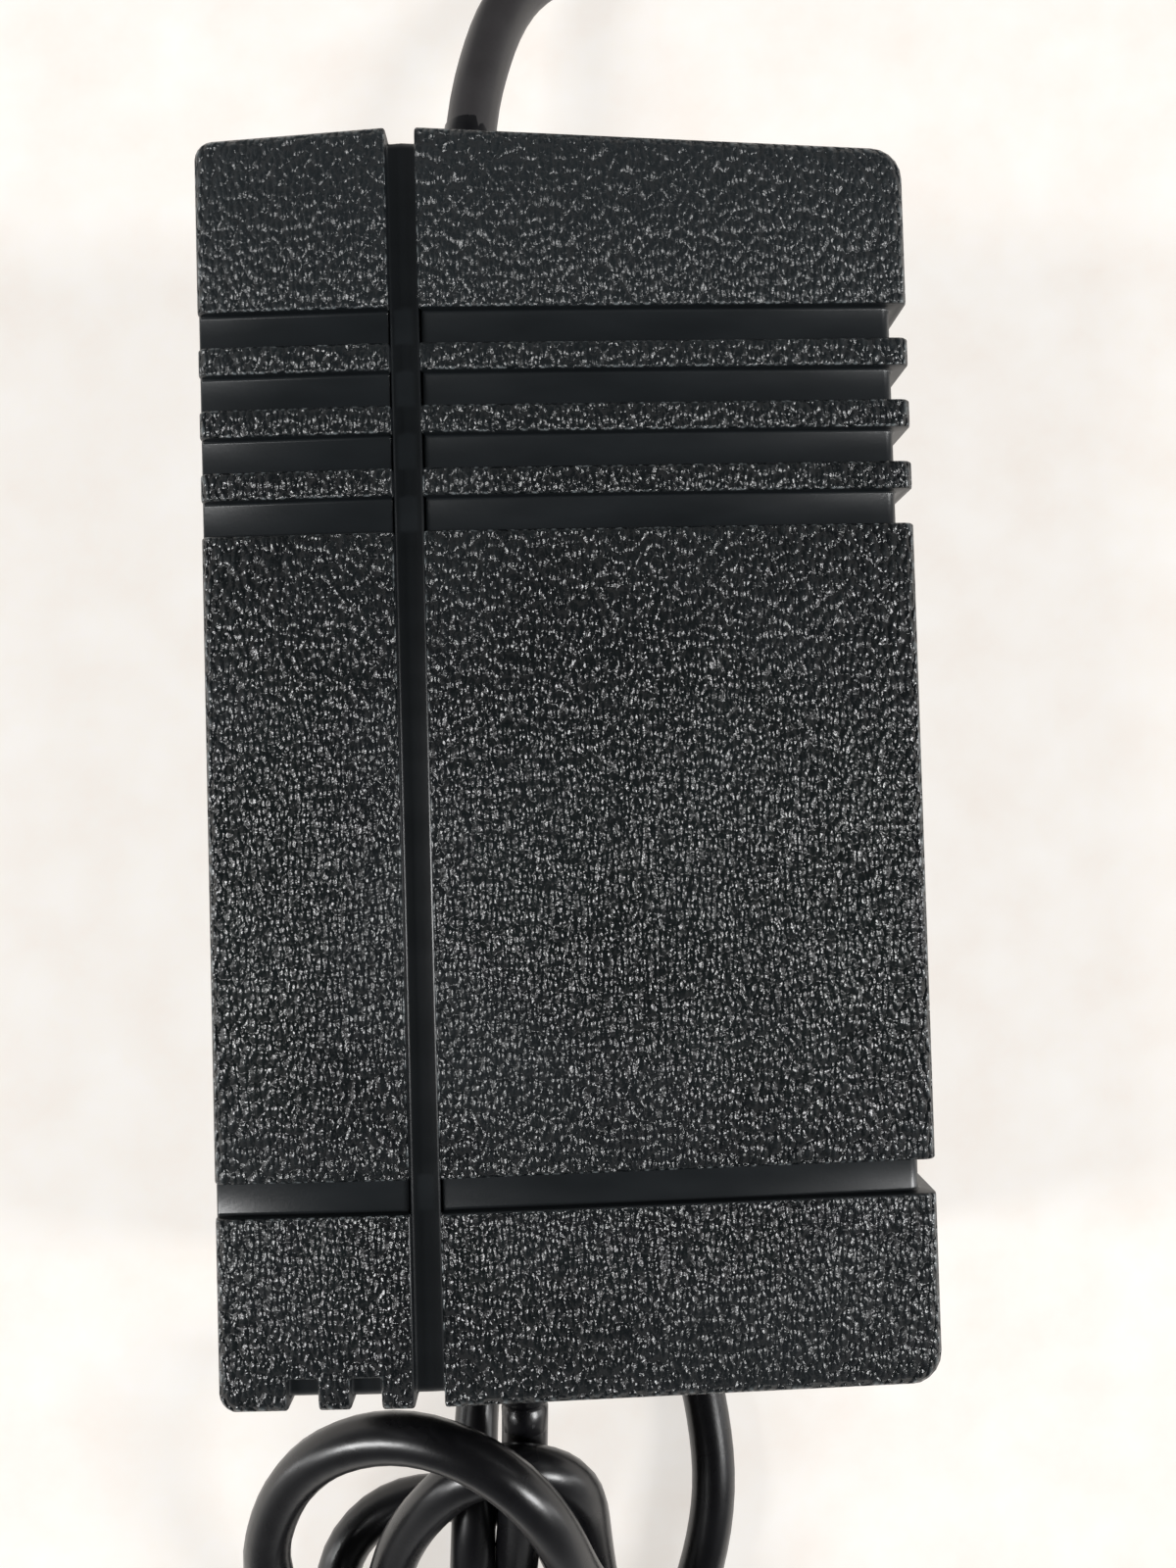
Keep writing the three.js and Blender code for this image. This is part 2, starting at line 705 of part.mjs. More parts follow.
// Pan-head screw through the tab into the heatsink
function deviceScrew(sink) {
  const inward = -Math.sign(sink.x);
  const headSeat = sink.x + inward * (sink.thickness / 2 + transistor.tabThickness + 2 * touch);
  const headEnd = headSeat + inward * 2;
  const tip = sink.x - inward * (sink.thickness / 2 + 0.8);
  const z = boardTop + transistor.holeHeight;
  const rod = (radius, a, b) => rodAlongX(radius, Math.min(a, b), Math.max(a, b), sink.y, z);
  return joined(
    rod(transistor.screw * 1.8, headSeat, headEnd),
    rod(transistor.screw, headSeat + inward * 0.5, tip),
  );
}

// Transformer: two E cores whose legs meet inside the bobbin
function ferriteCore(side) {
  const half = core.width / 2;
  const centre = core.middle / 2;
  const window = half - core.leg;
  const outline = [
    [-half, 0.05],
    [-window, 0.05],
    [-window, core.depth - core.back],
    [-centre, core.depth - core.back],
    [-centre, 0.05],
    [centre, 0.05],
    [centre, core.depth - core.back],
    [window, core.depth - core.back],
    [window, 0.05],
    [half, 0.05],
    [half, core.depth],
    [-half, core.depth],
  ];
  const middleZ = boardTop + bobbin.stand + bobbin.height / 2;
  const body = plate(outline, middleZ - core.height / 2, middleZ + core.height / 2);
  return body.rotateZ(side < 0 ? Math.PI : 0).translate(core.x, core.y, 0);
}

function transformerBobbin() {
  const half = core.depth - core.back - seatGap;
  const middleZ = boardTop + bobbin.stand + bobbin.height / 2;
  const flange = (y) =>
    boxBetween(
      [core.x - bobbin.width / 2, y - bobbin.wall / 2, middleZ - bobbin.height / 2],
      [core.x + bobbin.width / 2, y + bobbin.wall / 2, middleZ + bobbin.height / 2],
    );
  const winding = profileAlongY(
    roundedRectangle(bobbin.width - 1.6, bobbin.height - 2.4, 5, core.x, middleZ),
    core.y - half + bobbin.wall / 2,
    core.y + half - bobbin.wall / 2,
  );
  const stand = boxBetween(
    [core.x - bobbin.width / 2, core.y - half, boardTop],
    [core.x + bobbin.width / 2, core.y + half, boardTop + bobbin.stand + 1],
  );
  const legHole = boxBetween(
    [
      core.x - core.middle / 2 - seatGap,
      core.y - core.depth,
      middleZ - core.height / 2 - seatGap,
    ],
    [
      core.x + core.middle / 2 + seatGap,
      core.y + core.depth,
      middleZ + core.height / 2 + seatGap,
    ],
  );
  const body = joined(
    flange(core.y - half + bobbin.wall / 2),
    flange(core.y + half - bobbin.wall / 2),
    winding,
    stand,
  );
  return cut(body, legHole);
}

function thermistor() {
  const half = inrush.thickness / 2;
  const disc = rodAlongY(inrush.radius, inrush.y - half, inrush.y + half, inrush.x, boardTop + inrush.rise);
  return leaded(disc, inrush.x, inrush.y, inrush.radius, inrush.rise - inrush.radius / 2);
}

function bridgeRectifier() {
  const { x, y, width, depth, height, lift, pitch } = bridge;
  return leaded(block(width, depth, height, x, y, lift), x, y, pitch, lift + 1);
}

function lineCapacitor() {
  return block(filmBox.width, filmBox.depth, filmBox.height, filmBox.x, filmBox.y);
}

// Cords

const mainsLeadRoute = [
  [mains.x, caseLength / 2 + mains.reach + 2 * seatGap, seamHeight],
  [-10.8, 91.5, 15],
  [-9.7, 95.3, 14.6],
  [-8.4, 99.6, 13.7],
  [-6.6, 104, 12.3],
  [-3.9, 108.6, 10.4],
  [0.2, 113.4, 8.2],
  [5.2, 117.6, 6.1],
  [9.7, 120.3, 4.9],
  [12.3, 121.5, 4.3],
];

const mainsTailRoute = [
  [39.9, 186.1, 29.8],
  [35.5, 191, 32.6],
  [30.1, 194.8, 34.8],
  [23.9, 197.1, 35.6],
];

const outputLeadRoute = [
  [output.x, -caseLength / 2 - output.reach - 2 * seatGap, seamHeight],
  [-8.1, -90.3, 14.9],
  [-8.2, -91.6, 14.7],
];

const outputTailRoute = [
  [6.4, -116.6, 13.6],
  [11.6, -120.6, 11.6],
  [16.6, -125, 9.6],
  [20.4, -130, 8],
  [21.9, -134, 7.6],
  [22, -137, 7.6],
];

// Ring of turns, with room cut for the tie that holds it
function mainsCoil() {
  const half = (mains.diameter * coil.columns) / 2;
  const soft = 2.5;
  const corners = roundedRectangle(2 * half, coil.turnHeight, soft, coil.middle, coil.turnHeight / 2);
  const points = [...corners, corners[0]].map(([r, z]) => new THREE.Vector2(r, z));
  const ring = new THREE.LatheGeometry(points, 48).rotateX(Math.PI / 2).translate(coil.x, coil.y, 0);
  return cut(ring, tieRoom(coil.x - coil.middle, coil.y, 2 * half, coil.turnHeight));
}

// The space around a bundle that a tie takes up; the bundle runs along Y
function tieRoom(x, y, bundleWidth, bundleHeight) {
  const from = y - tie.width / 2 - seatGap;
  const to = y + tie.width / 2 + seatGap;
  const outside = boxBetween(
    [x - bundleWidth / 2 - beyond, from, -beyond],
    [x + bundleWidth / 2 + beyond, to, bundleHeight + beyond],
  );
  const bundle = profileAlongY(tieSection(x, bundleWidth, bundleHeight, -seatGap), from - 1, to + 1);
  return cut(outside, bundle);
}

// Outline of the tie's inner face, moved out by an amount
function tieSection(x, bundleWidth, bundleHeight, out) {
  const width = bundleWidth - 2 * tie.thickness + 2 * out;
  const height = bundleHeight - 2 * tie.thickness + 2 * out;
  return roundedRectangle(width, height, 3 + out, x, bundleHeight / 2);
}

function tieBand(x, y, bundleWidth, bundleHeight) {
  const from = y - tie.width / 2;
  const to = y + tie.width / 2;
  return cut(
    profileAlongY(tieSection(x, bundleWidth, bundleHeight, tie.thickness), from, to),
    profileAlongY(tieSection(x, bundleWidth, bundleHeight, 0), from - 1, to + 1),
  );
}

const hankTie = { x: -12.7, y: -160, width: 27, height: 18 };

// Outer shape of the folded lead: loops at the casing's end, the tied waist, the far folds
function outputHank() {
  const loops = [
    [-3, -92.5],
    [-14, -92.5],
    [-14, -85],
    ...arcPoints(-22, -105.5, 24.5, 80, 180, 6),
    [-46.5, -112],
    [hankTie.x - hankTie.width / 2, -150],
    [hankTie.x - hankTie.width / 2, -170],
    ...arcPoints(-12, -205, 25.1, 175, 365, 10),
    [hankTie.x + hankTie.width / 2, -170],
    [hankTie.x + hankTie.width / 2, -150],
    [5, -114],
    [5, -99],
    [2, -94],
  ].reverse();
  const side = [
    [-80, 0],
    [-231, 0],
    [-231, 12.6],
    [-185, 13.5],
    [-172, 18],
    [-148, 18],
    [-125, 21],
    [-108, 29],
    [-80, 29],
  ];
  const firstFold = [
    ...arcPoints(1, -91.5, 19.6, 0, 180, 10),
    [-18.6, -150],
    [hankTie.x + hankTie.width / 2, -150],
    [19.3, -112],
    [21, -104],
  ];
  const body = kept(plate(loops, 0, 30), profileAlongX(side, -60, 60));
  return cut(
    joined(body, plate(firstFold, 0, 6.4)),
    tieRoom(hankTie.x, hankTie.y, hankTie.width, hankTie.height),
  );
}

// Grounded wall plug lying on the coil. Drawn pointing along -X from the end of its cord.
const plug = { x: 23.2, y: 197.3, z: 35.6, turn: -14.3, width: 24, thickness: 20, length: 33,
  neck: 18 };
const blade = { length: 17.5, width: 6.3, thickness: 1.5, apart: 12.7, rise: 3 };
const earthPin = { radius: 2.4, length: 21, drop: 5 };
const plugFace = -plug.neck - plug.length;

function plugBody() {
  const grip = profileAlongX(
    roundedRectangle(plug.width, plug.thickness, 5),
    plugFace,
    -plug.neck,
  );
  const neck = new THREE.CylinderGeometry(4.6, 8.5, plug.neck + 0.5, 20)
    .rotateZ(-Math.PI / 2)
    .translate(-(plug.neck + 0.5) / 2, 0, 0);
  return joined(grip, neck);
}

function plugBlade(side) {
  const y = (side * blade.apart) / 2;
  return boxBetween(
    [plugFace - blade.length, y - blade.thickness / 2, blade.rise - blade.width / 2],
    [plugFace, y + blade.thickness / 2, blade.rise + blade.width / 2],
  );
}

function plugEarthPin() {
  return rodAlongX(earthPin.radius, plugFace - earthPin.length, plugFace, 0, -earthPin.drop);
}

// Coaxial low-voltage connector beside the hank, tip towards -Y
const jack = { x: 22, y: -137.4, z: 7.6, grip: 7.3, gripLength: 26, relief: 4.4, barrel: 2.75,
  barrelLength: 11, bore: 1.6 };

function jackBody() {
  const profile = [
    [0, 0],
    [jack.relief, 0],
    [jack.relief + 0.4, -9],
    [jack.grip - 1.4, -11],
    [jack.grip, -14],
    [jack.grip, -jack.gripLength + 1],
    [jack.grip - 1, -jack.gripLength],
    [0, -jack.gripLength],
  ];
  const points = profile.map(([r, y]) => new THREE.Vector2(r, y)).reverse();
  return new THREE.LatheGeometry(points, 28).translate(jack.x, jack.y, jack.z);
}

function jackBarrel() {
  const from = jack.y - jack.gripLength - 0.1;
  const sleeve = rodAlongY(jack.barrel, from - jack.barrelLength, from, jack.x, jack.z, 20);
  const bore = rodAlongY(jack.bore + 0.5, from - jack.barrelLength - 1, from - 1.5, jack.x, jack.z);
  return cut(sleeve, bore);
}

function jackInsulator() {
  const from = jack.y - jack.gripLength - 2;
  const outer = rodAlongY(jack.bore + 0.4, from - jack.barrelLength + 1.2, from, jack.x, jack.z, 20);
  const bore = rodAlongY(jack.bore - 0.6, from - jack.barrelLength, from - 2, jack.x, jack.z, 16);
  return cut(outer, bore);
}

// Insulated wires from the strain reliefs' inner faces to the board
function mainsWire(offset, padX) {
  const start = gableAt(mains.x + mains.flange) - caseWall - flangeThickness - 2 * seatGap;
  const padY = board.length / 2 - pads.inset;
  return tube(
    [
      [mains.x + offset, start, seamHeight],
      [mains.x + offset, start - 3, seamHeight + 0.6],
      [padX, padY + 2, seamHeight + 1.2],
      [padX, padY, boardTop + 1.3],
      [padX, padY, boardTop + 0.05],
    ],
    2,
    14,
    8,
  );
}

function outputWire(offset, padX) {
  const start = -caseLength / 2 + caseWall + flangeThickness + 2 * seatGap;
  const padY = -board.length / 2 + pads.inset;
  return tube(
    [
      [output.x + offset, start, seamHeight],
      [output.x + offset, start + 3, seamHeight + 0.6],
      [padX, padY - 2, seamHeight + 1.2],
      [padX, padY, boardTop + 1.3],
      [padX, padY, boardTop + 0.05],
    ],
    2.2,
    14,
    8,
  );
}

// Scene

const powerSupply = new THREE.Group();

function place(name, geometry, material, parent = powerSupply) {
  const mesh = new THREE.Mesh(geometry, material);
  mesh.name = name;
  parent.add(mesh);
}

const casing = new THREE.Group();
powerSupply.add(casing);
place('top_cover', topCover(), materials.cover, casing);
place('bottom_case', bottomCase(), materials.cover, casing);
place('rating_label', ratingLabel(), materials.label, casing);
screwPlaces.forEach(([x, y], i) =>
  place(`case_screw_${i + 1}`, caseScrewBody(x, y), materials.steel, casing),
);
footPlaces.forEach(([x, y], i) =>
  place(`rubber_foot_${i + 1}`, rubberFoot(x, y), materials.foot, casing),
);
place('mains_strain_relief', mainsRelief(), materials.cord, casing);
place('output_strain_relief', outputRelief(), materials.cord, casing);

const electronics = new THREE.Group();
powerSupply.add(electronics);
place('circuit_board', circuitBoard(), materials.board, electronics);
place('insulation_sheet', insulationSheet(), materials.sheet, electronics);
[standoffPlaces()[0], standoffPlaces()[2]].forEach(([x, y], i) =>
  place(`board_screw_${i + 1}`, boardScrewBody(x, y), materials.steel, electronics),
);
place('mains_fuse', mainsFuse(), materials.glass, electronics);
place('fuse_clip_1', fuseClip(-1), materials.nickel, electronics);
place('fuse_clip_2', fuseClip(1), materials.nickel, electronics);
place('thermistor', thermistor(), materials.disc, electronics);
place('line_choke', toroid(lineFilter), materials.copper, electronics);
place('line_capacitor', lineCapacitor(), materials.film, electronics);
place('bridge_rectifier', bridgeRectifier(), materials.epoxy, electronics);
place('bulk_capacitor', can(bulk.x, bulk.y, bulk), materials.sleeve, electronics);
place('primary_heatsink', heatsink(primarySink), materials.aluminium, electronics);
place('switching_transistor', powerDevice(primarySink), materials.epoxy, electronics);
place('transistor_screw', deviceScrew(primarySink), materials.steel, electronics);
place('transformer_bobbin', transformerBobbin(), materials.tape, electronics);
place('ferrite_core_1', ferriteCore(1), materials.ferrite, electronics);
place('ferrite_core_2', ferriteCore(-1), materials.ferrite, electronics);
place('control_chip', chip(controlChip), materials.epoxy, electronics);
place('optocoupler', chip(couplerChip), materials.epoxy, electronics);
place('output_heatsink', heatsink(outputSink), materials.aluminium, electronics);
place('output_rectifier', powerDevice(outputSink), materials.epoxy, electronics);
place('rectifier_screw', deviceScrew(outputSink), materials.steel, electronics);
place('output_choke', toroid(storeChoke), materials.copper, electronics);
outputCanPlaces.forEach(([x, y], i) =>
  place(`output_capacitor_${i + 1}`, can(x, y, outputCans), materials.sleeve, electronics),
);
place('live_wire', mainsWire(2.4, pads.live), materials.brown, electronics);
place('neutral_wire', mainsWire(-2.4, pads.neutral), materials.blue, electronics);
place('positive_wire', outputWire(2.2, pads.positive), materials.red, electronics);
place('ground_wire', outputWire(-2.2, pads.ground), materials.black, electronics);

const cords = new THREE.Group();
powerSupply.add(cords);
place('mains_cord_lead', tube(mainsLeadRoute, mains.diameter, 12), materials.cord, cords);
place('mains_cord_coil', mainsCoil(), materials.cord, cords);
place('mains_cord_tail', tube(mainsTailRoute, mains.diameter, 8), materials.cord, cords);
place('mains_cord_tie',
  tieBand(coil.x - coil.middle, coil.y, mains.diameter * coil.columns, coil.turnHeight),
  materials.tie, cords);
const wallPlug = new THREE.Group();
wallPlug.position.set(plug.x, plug.y, plug.z);
wallPlug.rotation.z = THREE.MathUtils.degToRad(plug.turn);
cords.add(wallPlug);
place('mains_plug_body', plugBody(), materials.cord, wallPlug);
place('mains_plug_blade_1', plugBlade(-1), materials.nickel, wallPlug);
place('mains_plug_blade_2', plugBlade(1), materials.nickel, wallPlug);
place('mains_plug_earth_pin', plugEarthPin(), materials.nickel, wallPlug);
place('output_cord_lead', tube(outputLeadRoute, output.diameter, 3), materials.cord, cords);
place('output_cord_hank', outputHank(), materials.cord, cords);
place('output_cord_tail', tube(outputTailRoute, output.diameter, 8), materials.cord, cords);
place('output_cord_tie', tieBand(hankTie.x, hankTie.y, hankTie.width, hankTie.height),
  materials.tie, cords);
place('output_plug_body', jackBody(), materials.cord, cords);
place('output_plug_barrel', jackBarrel(), materials.nickel, cords);
place('output_plug_insulator', jackInsulator(), materials.epoxy, cords);

export default powerSupply;
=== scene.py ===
# Desktop power supply with two captive cords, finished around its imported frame.
# Metres, +Z up; the numbers in the dictionaries are millimetres unless a note says otherwise.
import json
import math
import bpy
import numpy as np
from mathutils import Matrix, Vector


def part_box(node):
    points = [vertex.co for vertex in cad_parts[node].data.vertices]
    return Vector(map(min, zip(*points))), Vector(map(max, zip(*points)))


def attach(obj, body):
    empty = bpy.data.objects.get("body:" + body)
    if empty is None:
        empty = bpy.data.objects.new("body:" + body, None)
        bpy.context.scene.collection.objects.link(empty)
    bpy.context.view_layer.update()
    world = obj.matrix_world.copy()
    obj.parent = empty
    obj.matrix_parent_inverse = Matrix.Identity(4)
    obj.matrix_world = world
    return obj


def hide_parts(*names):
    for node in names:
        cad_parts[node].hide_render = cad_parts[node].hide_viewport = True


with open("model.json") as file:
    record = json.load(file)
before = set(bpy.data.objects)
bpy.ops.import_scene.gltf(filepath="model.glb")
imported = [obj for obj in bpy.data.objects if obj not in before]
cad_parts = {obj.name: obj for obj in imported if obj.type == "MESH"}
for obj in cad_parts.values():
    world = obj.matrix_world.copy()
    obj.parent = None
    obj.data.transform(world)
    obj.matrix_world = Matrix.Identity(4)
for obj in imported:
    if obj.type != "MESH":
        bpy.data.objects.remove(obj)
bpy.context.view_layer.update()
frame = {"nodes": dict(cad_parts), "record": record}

mm = 0.001
nodes = frame["nodes"]
bpy.ops.object.select_all(action="DESELECT")

viewer = {
    "place": (-0.138, -6.33, 180.09),
    "turn": (1.4097, -0.9865, -1.5887),  # degrees
    "lens": 27.82,
    "sensor": 36,
    "nearest": 5,
}


def addCamera():
    bpy.ops.object.camera_add(
        location=[v * mm for v in viewer["place"]],
        rotation=[math.radians(a) for a in viewer["turn"]],
    )
    camera = bpy.context.object
    camera.data.lens = viewer["lens"]
    camera.data.sensor_width = viewer["sensor"]
    camera.data.clip_start = viewer["nearest"] * mm
    bpy.context.scene.camera = camera


addCamera()
print("camera placed")

outputCord = {
    "diameter": 6.2,
    "exit": (-8, -88.5, 15),
    "bundle": (-12, -205),  # middle of the far folds
    "tightFold": 15.5,
    "wideFold": 22,
    "foldArc": (10, -190, 9),  # degrees from, degrees to, points
    "foldLead": (25, 0.6),  # from the bundle's middle back to a fold's first point, and its rise
    "foldSpread": 0.55,
    "tieAt": -160,
    "floorLayer": 3.1,
    "upperLayer": 9.3,
    "tightest": 14,  # radius of the tightest bend the flex takes
    "step": 2.5,
    "soften": 3,
    "settle": (120, 60, 60),
}
mainsCord = {
    "diameter": 7,
    "exit": (-11, 88.5, 15),
    "coil": (2.4, 169.5),
    "columns": (34.5, 41.5),
    "stagger": 1.75,  # each layer of turns sits in the dips of the one below
    "layerRise": 6.06,
    "layers": 4,
    "joins": -75,  # degrees round the coil
    "joinRadius": 48.5,
    "joinSpan": 60,  # degrees in which the lead closes in on the first turn
    "leaves": -8.7,
    "turns": 7,
    "pointEvery": 15,  # degrees
    "climbSpan": 70,  # degrees in which a turn passes to its own place
    "strapLift": 1.3,  # room below the turns where the strap passes
    "liftShape": (-0.6, -2.4),  # shift and slope that keep it to the strap's side of the coil
    "tieFrom": -20,  # the strap holds the turns that lie beyond this
    "tieMiddle": -36,
    "plugBend": (17, 170, 28, 0, -14.3, 75.7, 7),  # arc from the last turn to the plug
    "plugRise": (21.8, 13.8),  # its height at the start, and what it gains
    "step": 2.8,
    "soften": 4,
    "settle": 160,
}
laying = {
    "fixed": 4,  # points at each end that stay where they are
    "nearTightest": 0.92,  # part of the tightest bend from which a bend is opened
    "spread": (0.2, 0.4, 0.7, 1, 0.7, 0.4, 0.2),  # how its neighbours share in that
    "opening": 0.3,
    "bendRounds": 500,
    "apart": 2.2,  # diameters along a cord between what counts as two strands
    "watched": 1.5,  # diameters within which two strands are looked after
    "watchEvery": 8,  # rounds
    "push": 0.6,
    "smoothing": 3,
    "lasting": 0.99,
    "roundness": 6,
}


def arc(x, y, radius, z, start, end, count):
    points = []
    for i in range(count + 1):
        angle = math.radians(start + (end - start) * i / count)
        points.append((x + radius * math.cos(angle), y + radius * math.sin(angle), z))
    return points


def ease(t):
    t = min(max(t, 0), 1)
    return t * t * (3 - 2 * t)


def farFold(radius, layer, fromX, toX):
    # out from the tie, round the far end and back to it
    x, y = outputCord["bundle"]
    z = outputCord[layer]
    near, rise = outputCord["foldLead"]
    spread = outputCord["foldSpread"]
    lead = (fromX + (x + radius - fromX) * spread, y + near, z + rise)
    back = (toX + (x - radius - toX) * spread, y + near, z + rise)
    return [lead, *arc(x, y, radius, z, *outputCord["foldArc"]), back]


leadRun = [
    (-8, -86.3, 15),
    (-8, -88.5, 15),
    (-8.1, -91, 14.9),
    (-8.5, -96, 13.8),
    (-9.1, -102, 11.4),
    (-9.8, -108, 8.8),
    (-10.5, -115, 5.6),
    (-10.9, -124, 3.5),
    (-10.9, -134, 3.1),
    (-10.3, -147, 3.6),
    (-9.5, -160, 4.6),
]
nearFoldRun = [
    (-16, -160, 4.6),
    (-16.3, -143, 3.6),
    (-16.7, -129, 3.8),
    (-16.5, -119, 6),
    (-16, -111, 8.8),
    (-15.6, -104, 9.5),
    (-15.4, -98, 7.6),
    (-15.4, -93, 4.8),
    *arc(1, -91.5, 16.5, 3.2, 165, 0, 6),
    (18.4, -100.9, 4.4),
    (17.9, -106.1, 5),
    (16.4, -113, 5),
    (13.4, -122, 4.2),
    (7.5, -136, 3.6),
    (1, -149, 4),
    (-3, -160, 4.6),
]
lowLoopRun = [
    (-22.5, -160, 4.6),
    (-27, -145, 3.6),
    (-32.5, -131, 3.1),
    (-36.2, -120, 3.1),
    (-36.6, -113.8, 3.1),
    (-34.2, -108.2, 3.1),
    (-30.1, -105, 3.1),
    (-25.2, -104, 3.1),
    (-19, -104.2, 3.1),
    (-12.6, -104.6, 3.1),
    (-7.4, -106.4, 3.1),
    (-4.2, -110.8, 3.1),
    (-2.4, -118, 3.1),
    (-2, -128, 3.6),
    (-3.6, -140, 5),
    (-8.5, -152, 8.2),
    (-12.7, -160, 10.2),
]
middleLoopRun = [
    (-19.2, -160, 10.2),
    (-20.5, -148, 9.8),
    (-24.4, -135, 7),
    (-27.4, -122, 6.5),
    (-28, -112.5, 9.3),
    (-24.8, -103.4, 13),
    (-20.4, -96.8, 16.4),
    (-16, -91.8, 19),
    (-11.6, -88.4, 21),
    (-7, -87.8, 21),
    (-2.7, -91, 18.8),
    (-0.8, -97.4, 15),
    (-0.2, -104.5, 11.2),
    (0.4, -112, 8.4),
    (1.4, -119, 7),
    (1.4, -129, 7.6),
    (-1, -141, 8.6),
    (-4.4, -152, 9.6),
    (-6.2, -160, 10.2),
]
highLoopRun = [
    (-16, -160, 15.8),
    (-19.5, -148, 14.8),
    (-26, -135, 12.2),
    (-34, -122.5, 11.5),
    (-40.4, -114, 13),
    (-43.1, -105.8, 15),
    (-41.4, -98, 17.5),
    (-37.8, -91.5, 20),
    (-33.3, -87.2, 22.4),
    (-28.4, -84.7, 24.4),
    (-23.6, -83.6, 26),
    (-19, -83.7, 27.4),
    (-14.6, -85, 28.4),
    (-10.3, -87.4, 28.8),
    (-6.9, -90.8, 28.4),
    (-4.5, -94.8, 27),
    (-2.6, -99.8, 24.6),
    (-1, -105.2, 21.4),
    (1.4, -110.6, 18.2),
    (5, -115.4, 15.4),
    (9.6, -119.8, 12.9),
    (14.6, -124.2, 10.6),
    (18.9, -128.8, 8.8),
    (21.4, -133.2, 7.8),
    (22, -137, 7.6),
]
mainsLeadRun = [
    (-11, 86.3, 15),
    (-11, 88.5, 15),
    (-10.8, 90.6, 15),
    (-10, 93.2, 14.8),
    (-9.1, 97.1, 14.2),
    (-8.1, 100.9, 13.4),
    (-7, 104.6, 12.3),
    (-5.3, 108.9, 10.7),
    (-2.6, 113.2, 8.9),
    (1.4, 117.1, 7),
    (6.4, 120.2, 5.3),
    (10.8, 121.8, 4.3),
]


def outputRoute():
    tight, wide = outputCord["tightFold"], outputCord["wideFold"]
    return [
        *leadRun,
        *farFold(tight, "floorLayer", leadRun[-1][0], nearFoldRun[0][0]),
        *nearFoldRun,
        *farFold(wide, "floorLayer", nearFoldRun[-1][0], lowLoopRun[0][0]),
        *lowLoopRun,
        *farFold(tight, "upperLayer", lowLoopRun[-1][0], middleLoopRun[0][0]),
        *middleLoopRun,
        *farFold(wide, "upperLayer", middleLoopRun[-1][0], highLoopRun[0][0]),
        *highLoopRun,
    ]


def coilPlaces():
    # radius and height of each turn, from the bottom outside to the top outside
    inner, outer = mainsCord["columns"]
    places = []
    for layer in range(mainsCord["layers"]):
        side = mainsCord["stagger"] * (1 if layer % 2 else -1)
        z = mainsCord["diameter"] / 2 + layer * mainsCord["layerRise"]
        pair = [(outer + side, z), (inner + side, z)]
        places += reversed(pair) if layer % 2 else pair
    return places


def mainsRoute():
    x, y = mainsCord["coil"]
    places = coilPlaces()
    start = mainsCord["joins"]
    total = mainsCord["leaves"] + 360 * mainsCord["turns"] - start
    points = list(mainsLeadRun)
    count = round(total / mainsCord["pointEvery"])
    shift, slope = mainsCord["liftShape"]
    for i in range(count + 1):
        along = total * i / count
        turn, degrees = divmod(along, 360)
        radius, z = places[int(turn)]
        if turn:
            lastRadius, lastZ = places[int(turn) - 1]
            part = ease(degrees / mainsCord["climbSpan"])
            radius = lastRadius + (radius - lastRadius) * part
            z = lastZ + (z - lastZ) * part
        else:
            wide = mainsCord["joinRadius"]
            radius = wide + (radius - wide) * ease(degrees / mainsCord["joinSpan"])
        angle = math.radians(start + along)
        lift = mainsCord["strapLift"] * ease(shift + slope * math.cos(angle))
        points.append((x + radius * math.cos(angle), y + radius * math.sin(angle), z + lift))
    low, gain = mainsCord["plugRise"]
    up = arc(*mainsCord["plugBend"])[1:]
    for i, (px, py, _) in enumerate(up, 1):
        points.append((px, py, low + gain * ease(i / len(up))))  # onto the coil, to its plug
    return points


def smoothLine(route, step):
    # one smooth curve through the points, then points an even step apart on it
    p = np.array(route, float)
    p = np.vstack([2 * p[0] - p[1], p, 2 * p[-1] - p[-2]])
    knots = np.r_[0, np.cumsum(np.linalg.norm(np.diff(p, axis=0), axis=1) ** 0.5)]
    fine = []
    for i in range(1, len(p) - 2):
        t0, t1, t2, t3 = knots[i - 1 : i + 3]
        t = np.linspace(t1, t2, 16, endpoint=False)[:, None]
        a1 = ((t1 - t) * p[i - 1] + (t - t0) * p[i]) / (t1 - t0)
        a2 = ((t2 - t) * p[i] + (t - t1) * p[i + 1]) / (t2 - t1)
        a3 = ((t3 - t) * p[i + 1] + (t - t2) * p[i + 2]) / (t3 - t2)
        b1 = ((t2 - t) * a1 + (t - t0) * a2) / (t2 - t0)
        b2 = ((t3 - t) * a2 + (t - t1) * a3) / (t3 - t1)
        fine.append(((t2 - t) * b1 + (t - t1) * b2) / (t2 - t1))
    fine = np.vstack([*fine, p[-2]])
    along = np.r_[0, np.cumsum(np.linalg.norm(np.diff(fine, axis=0), axis=1))]
    places = np.linspace(0, along[-1], round(along[-1] / step) + 1)
    return np.stack([np.interp(places, along, fine[:, k]) for k in range(3)], axis=1)


def soften(line, rounds):
    # takes the kinks out, as a cord's own stiffness does
    for _ in range(rounds):
        line[1:-1] = 0.25 * line[:-2] + 0.5 * line[1:-1] + 0.25 * line[2:]
    return line


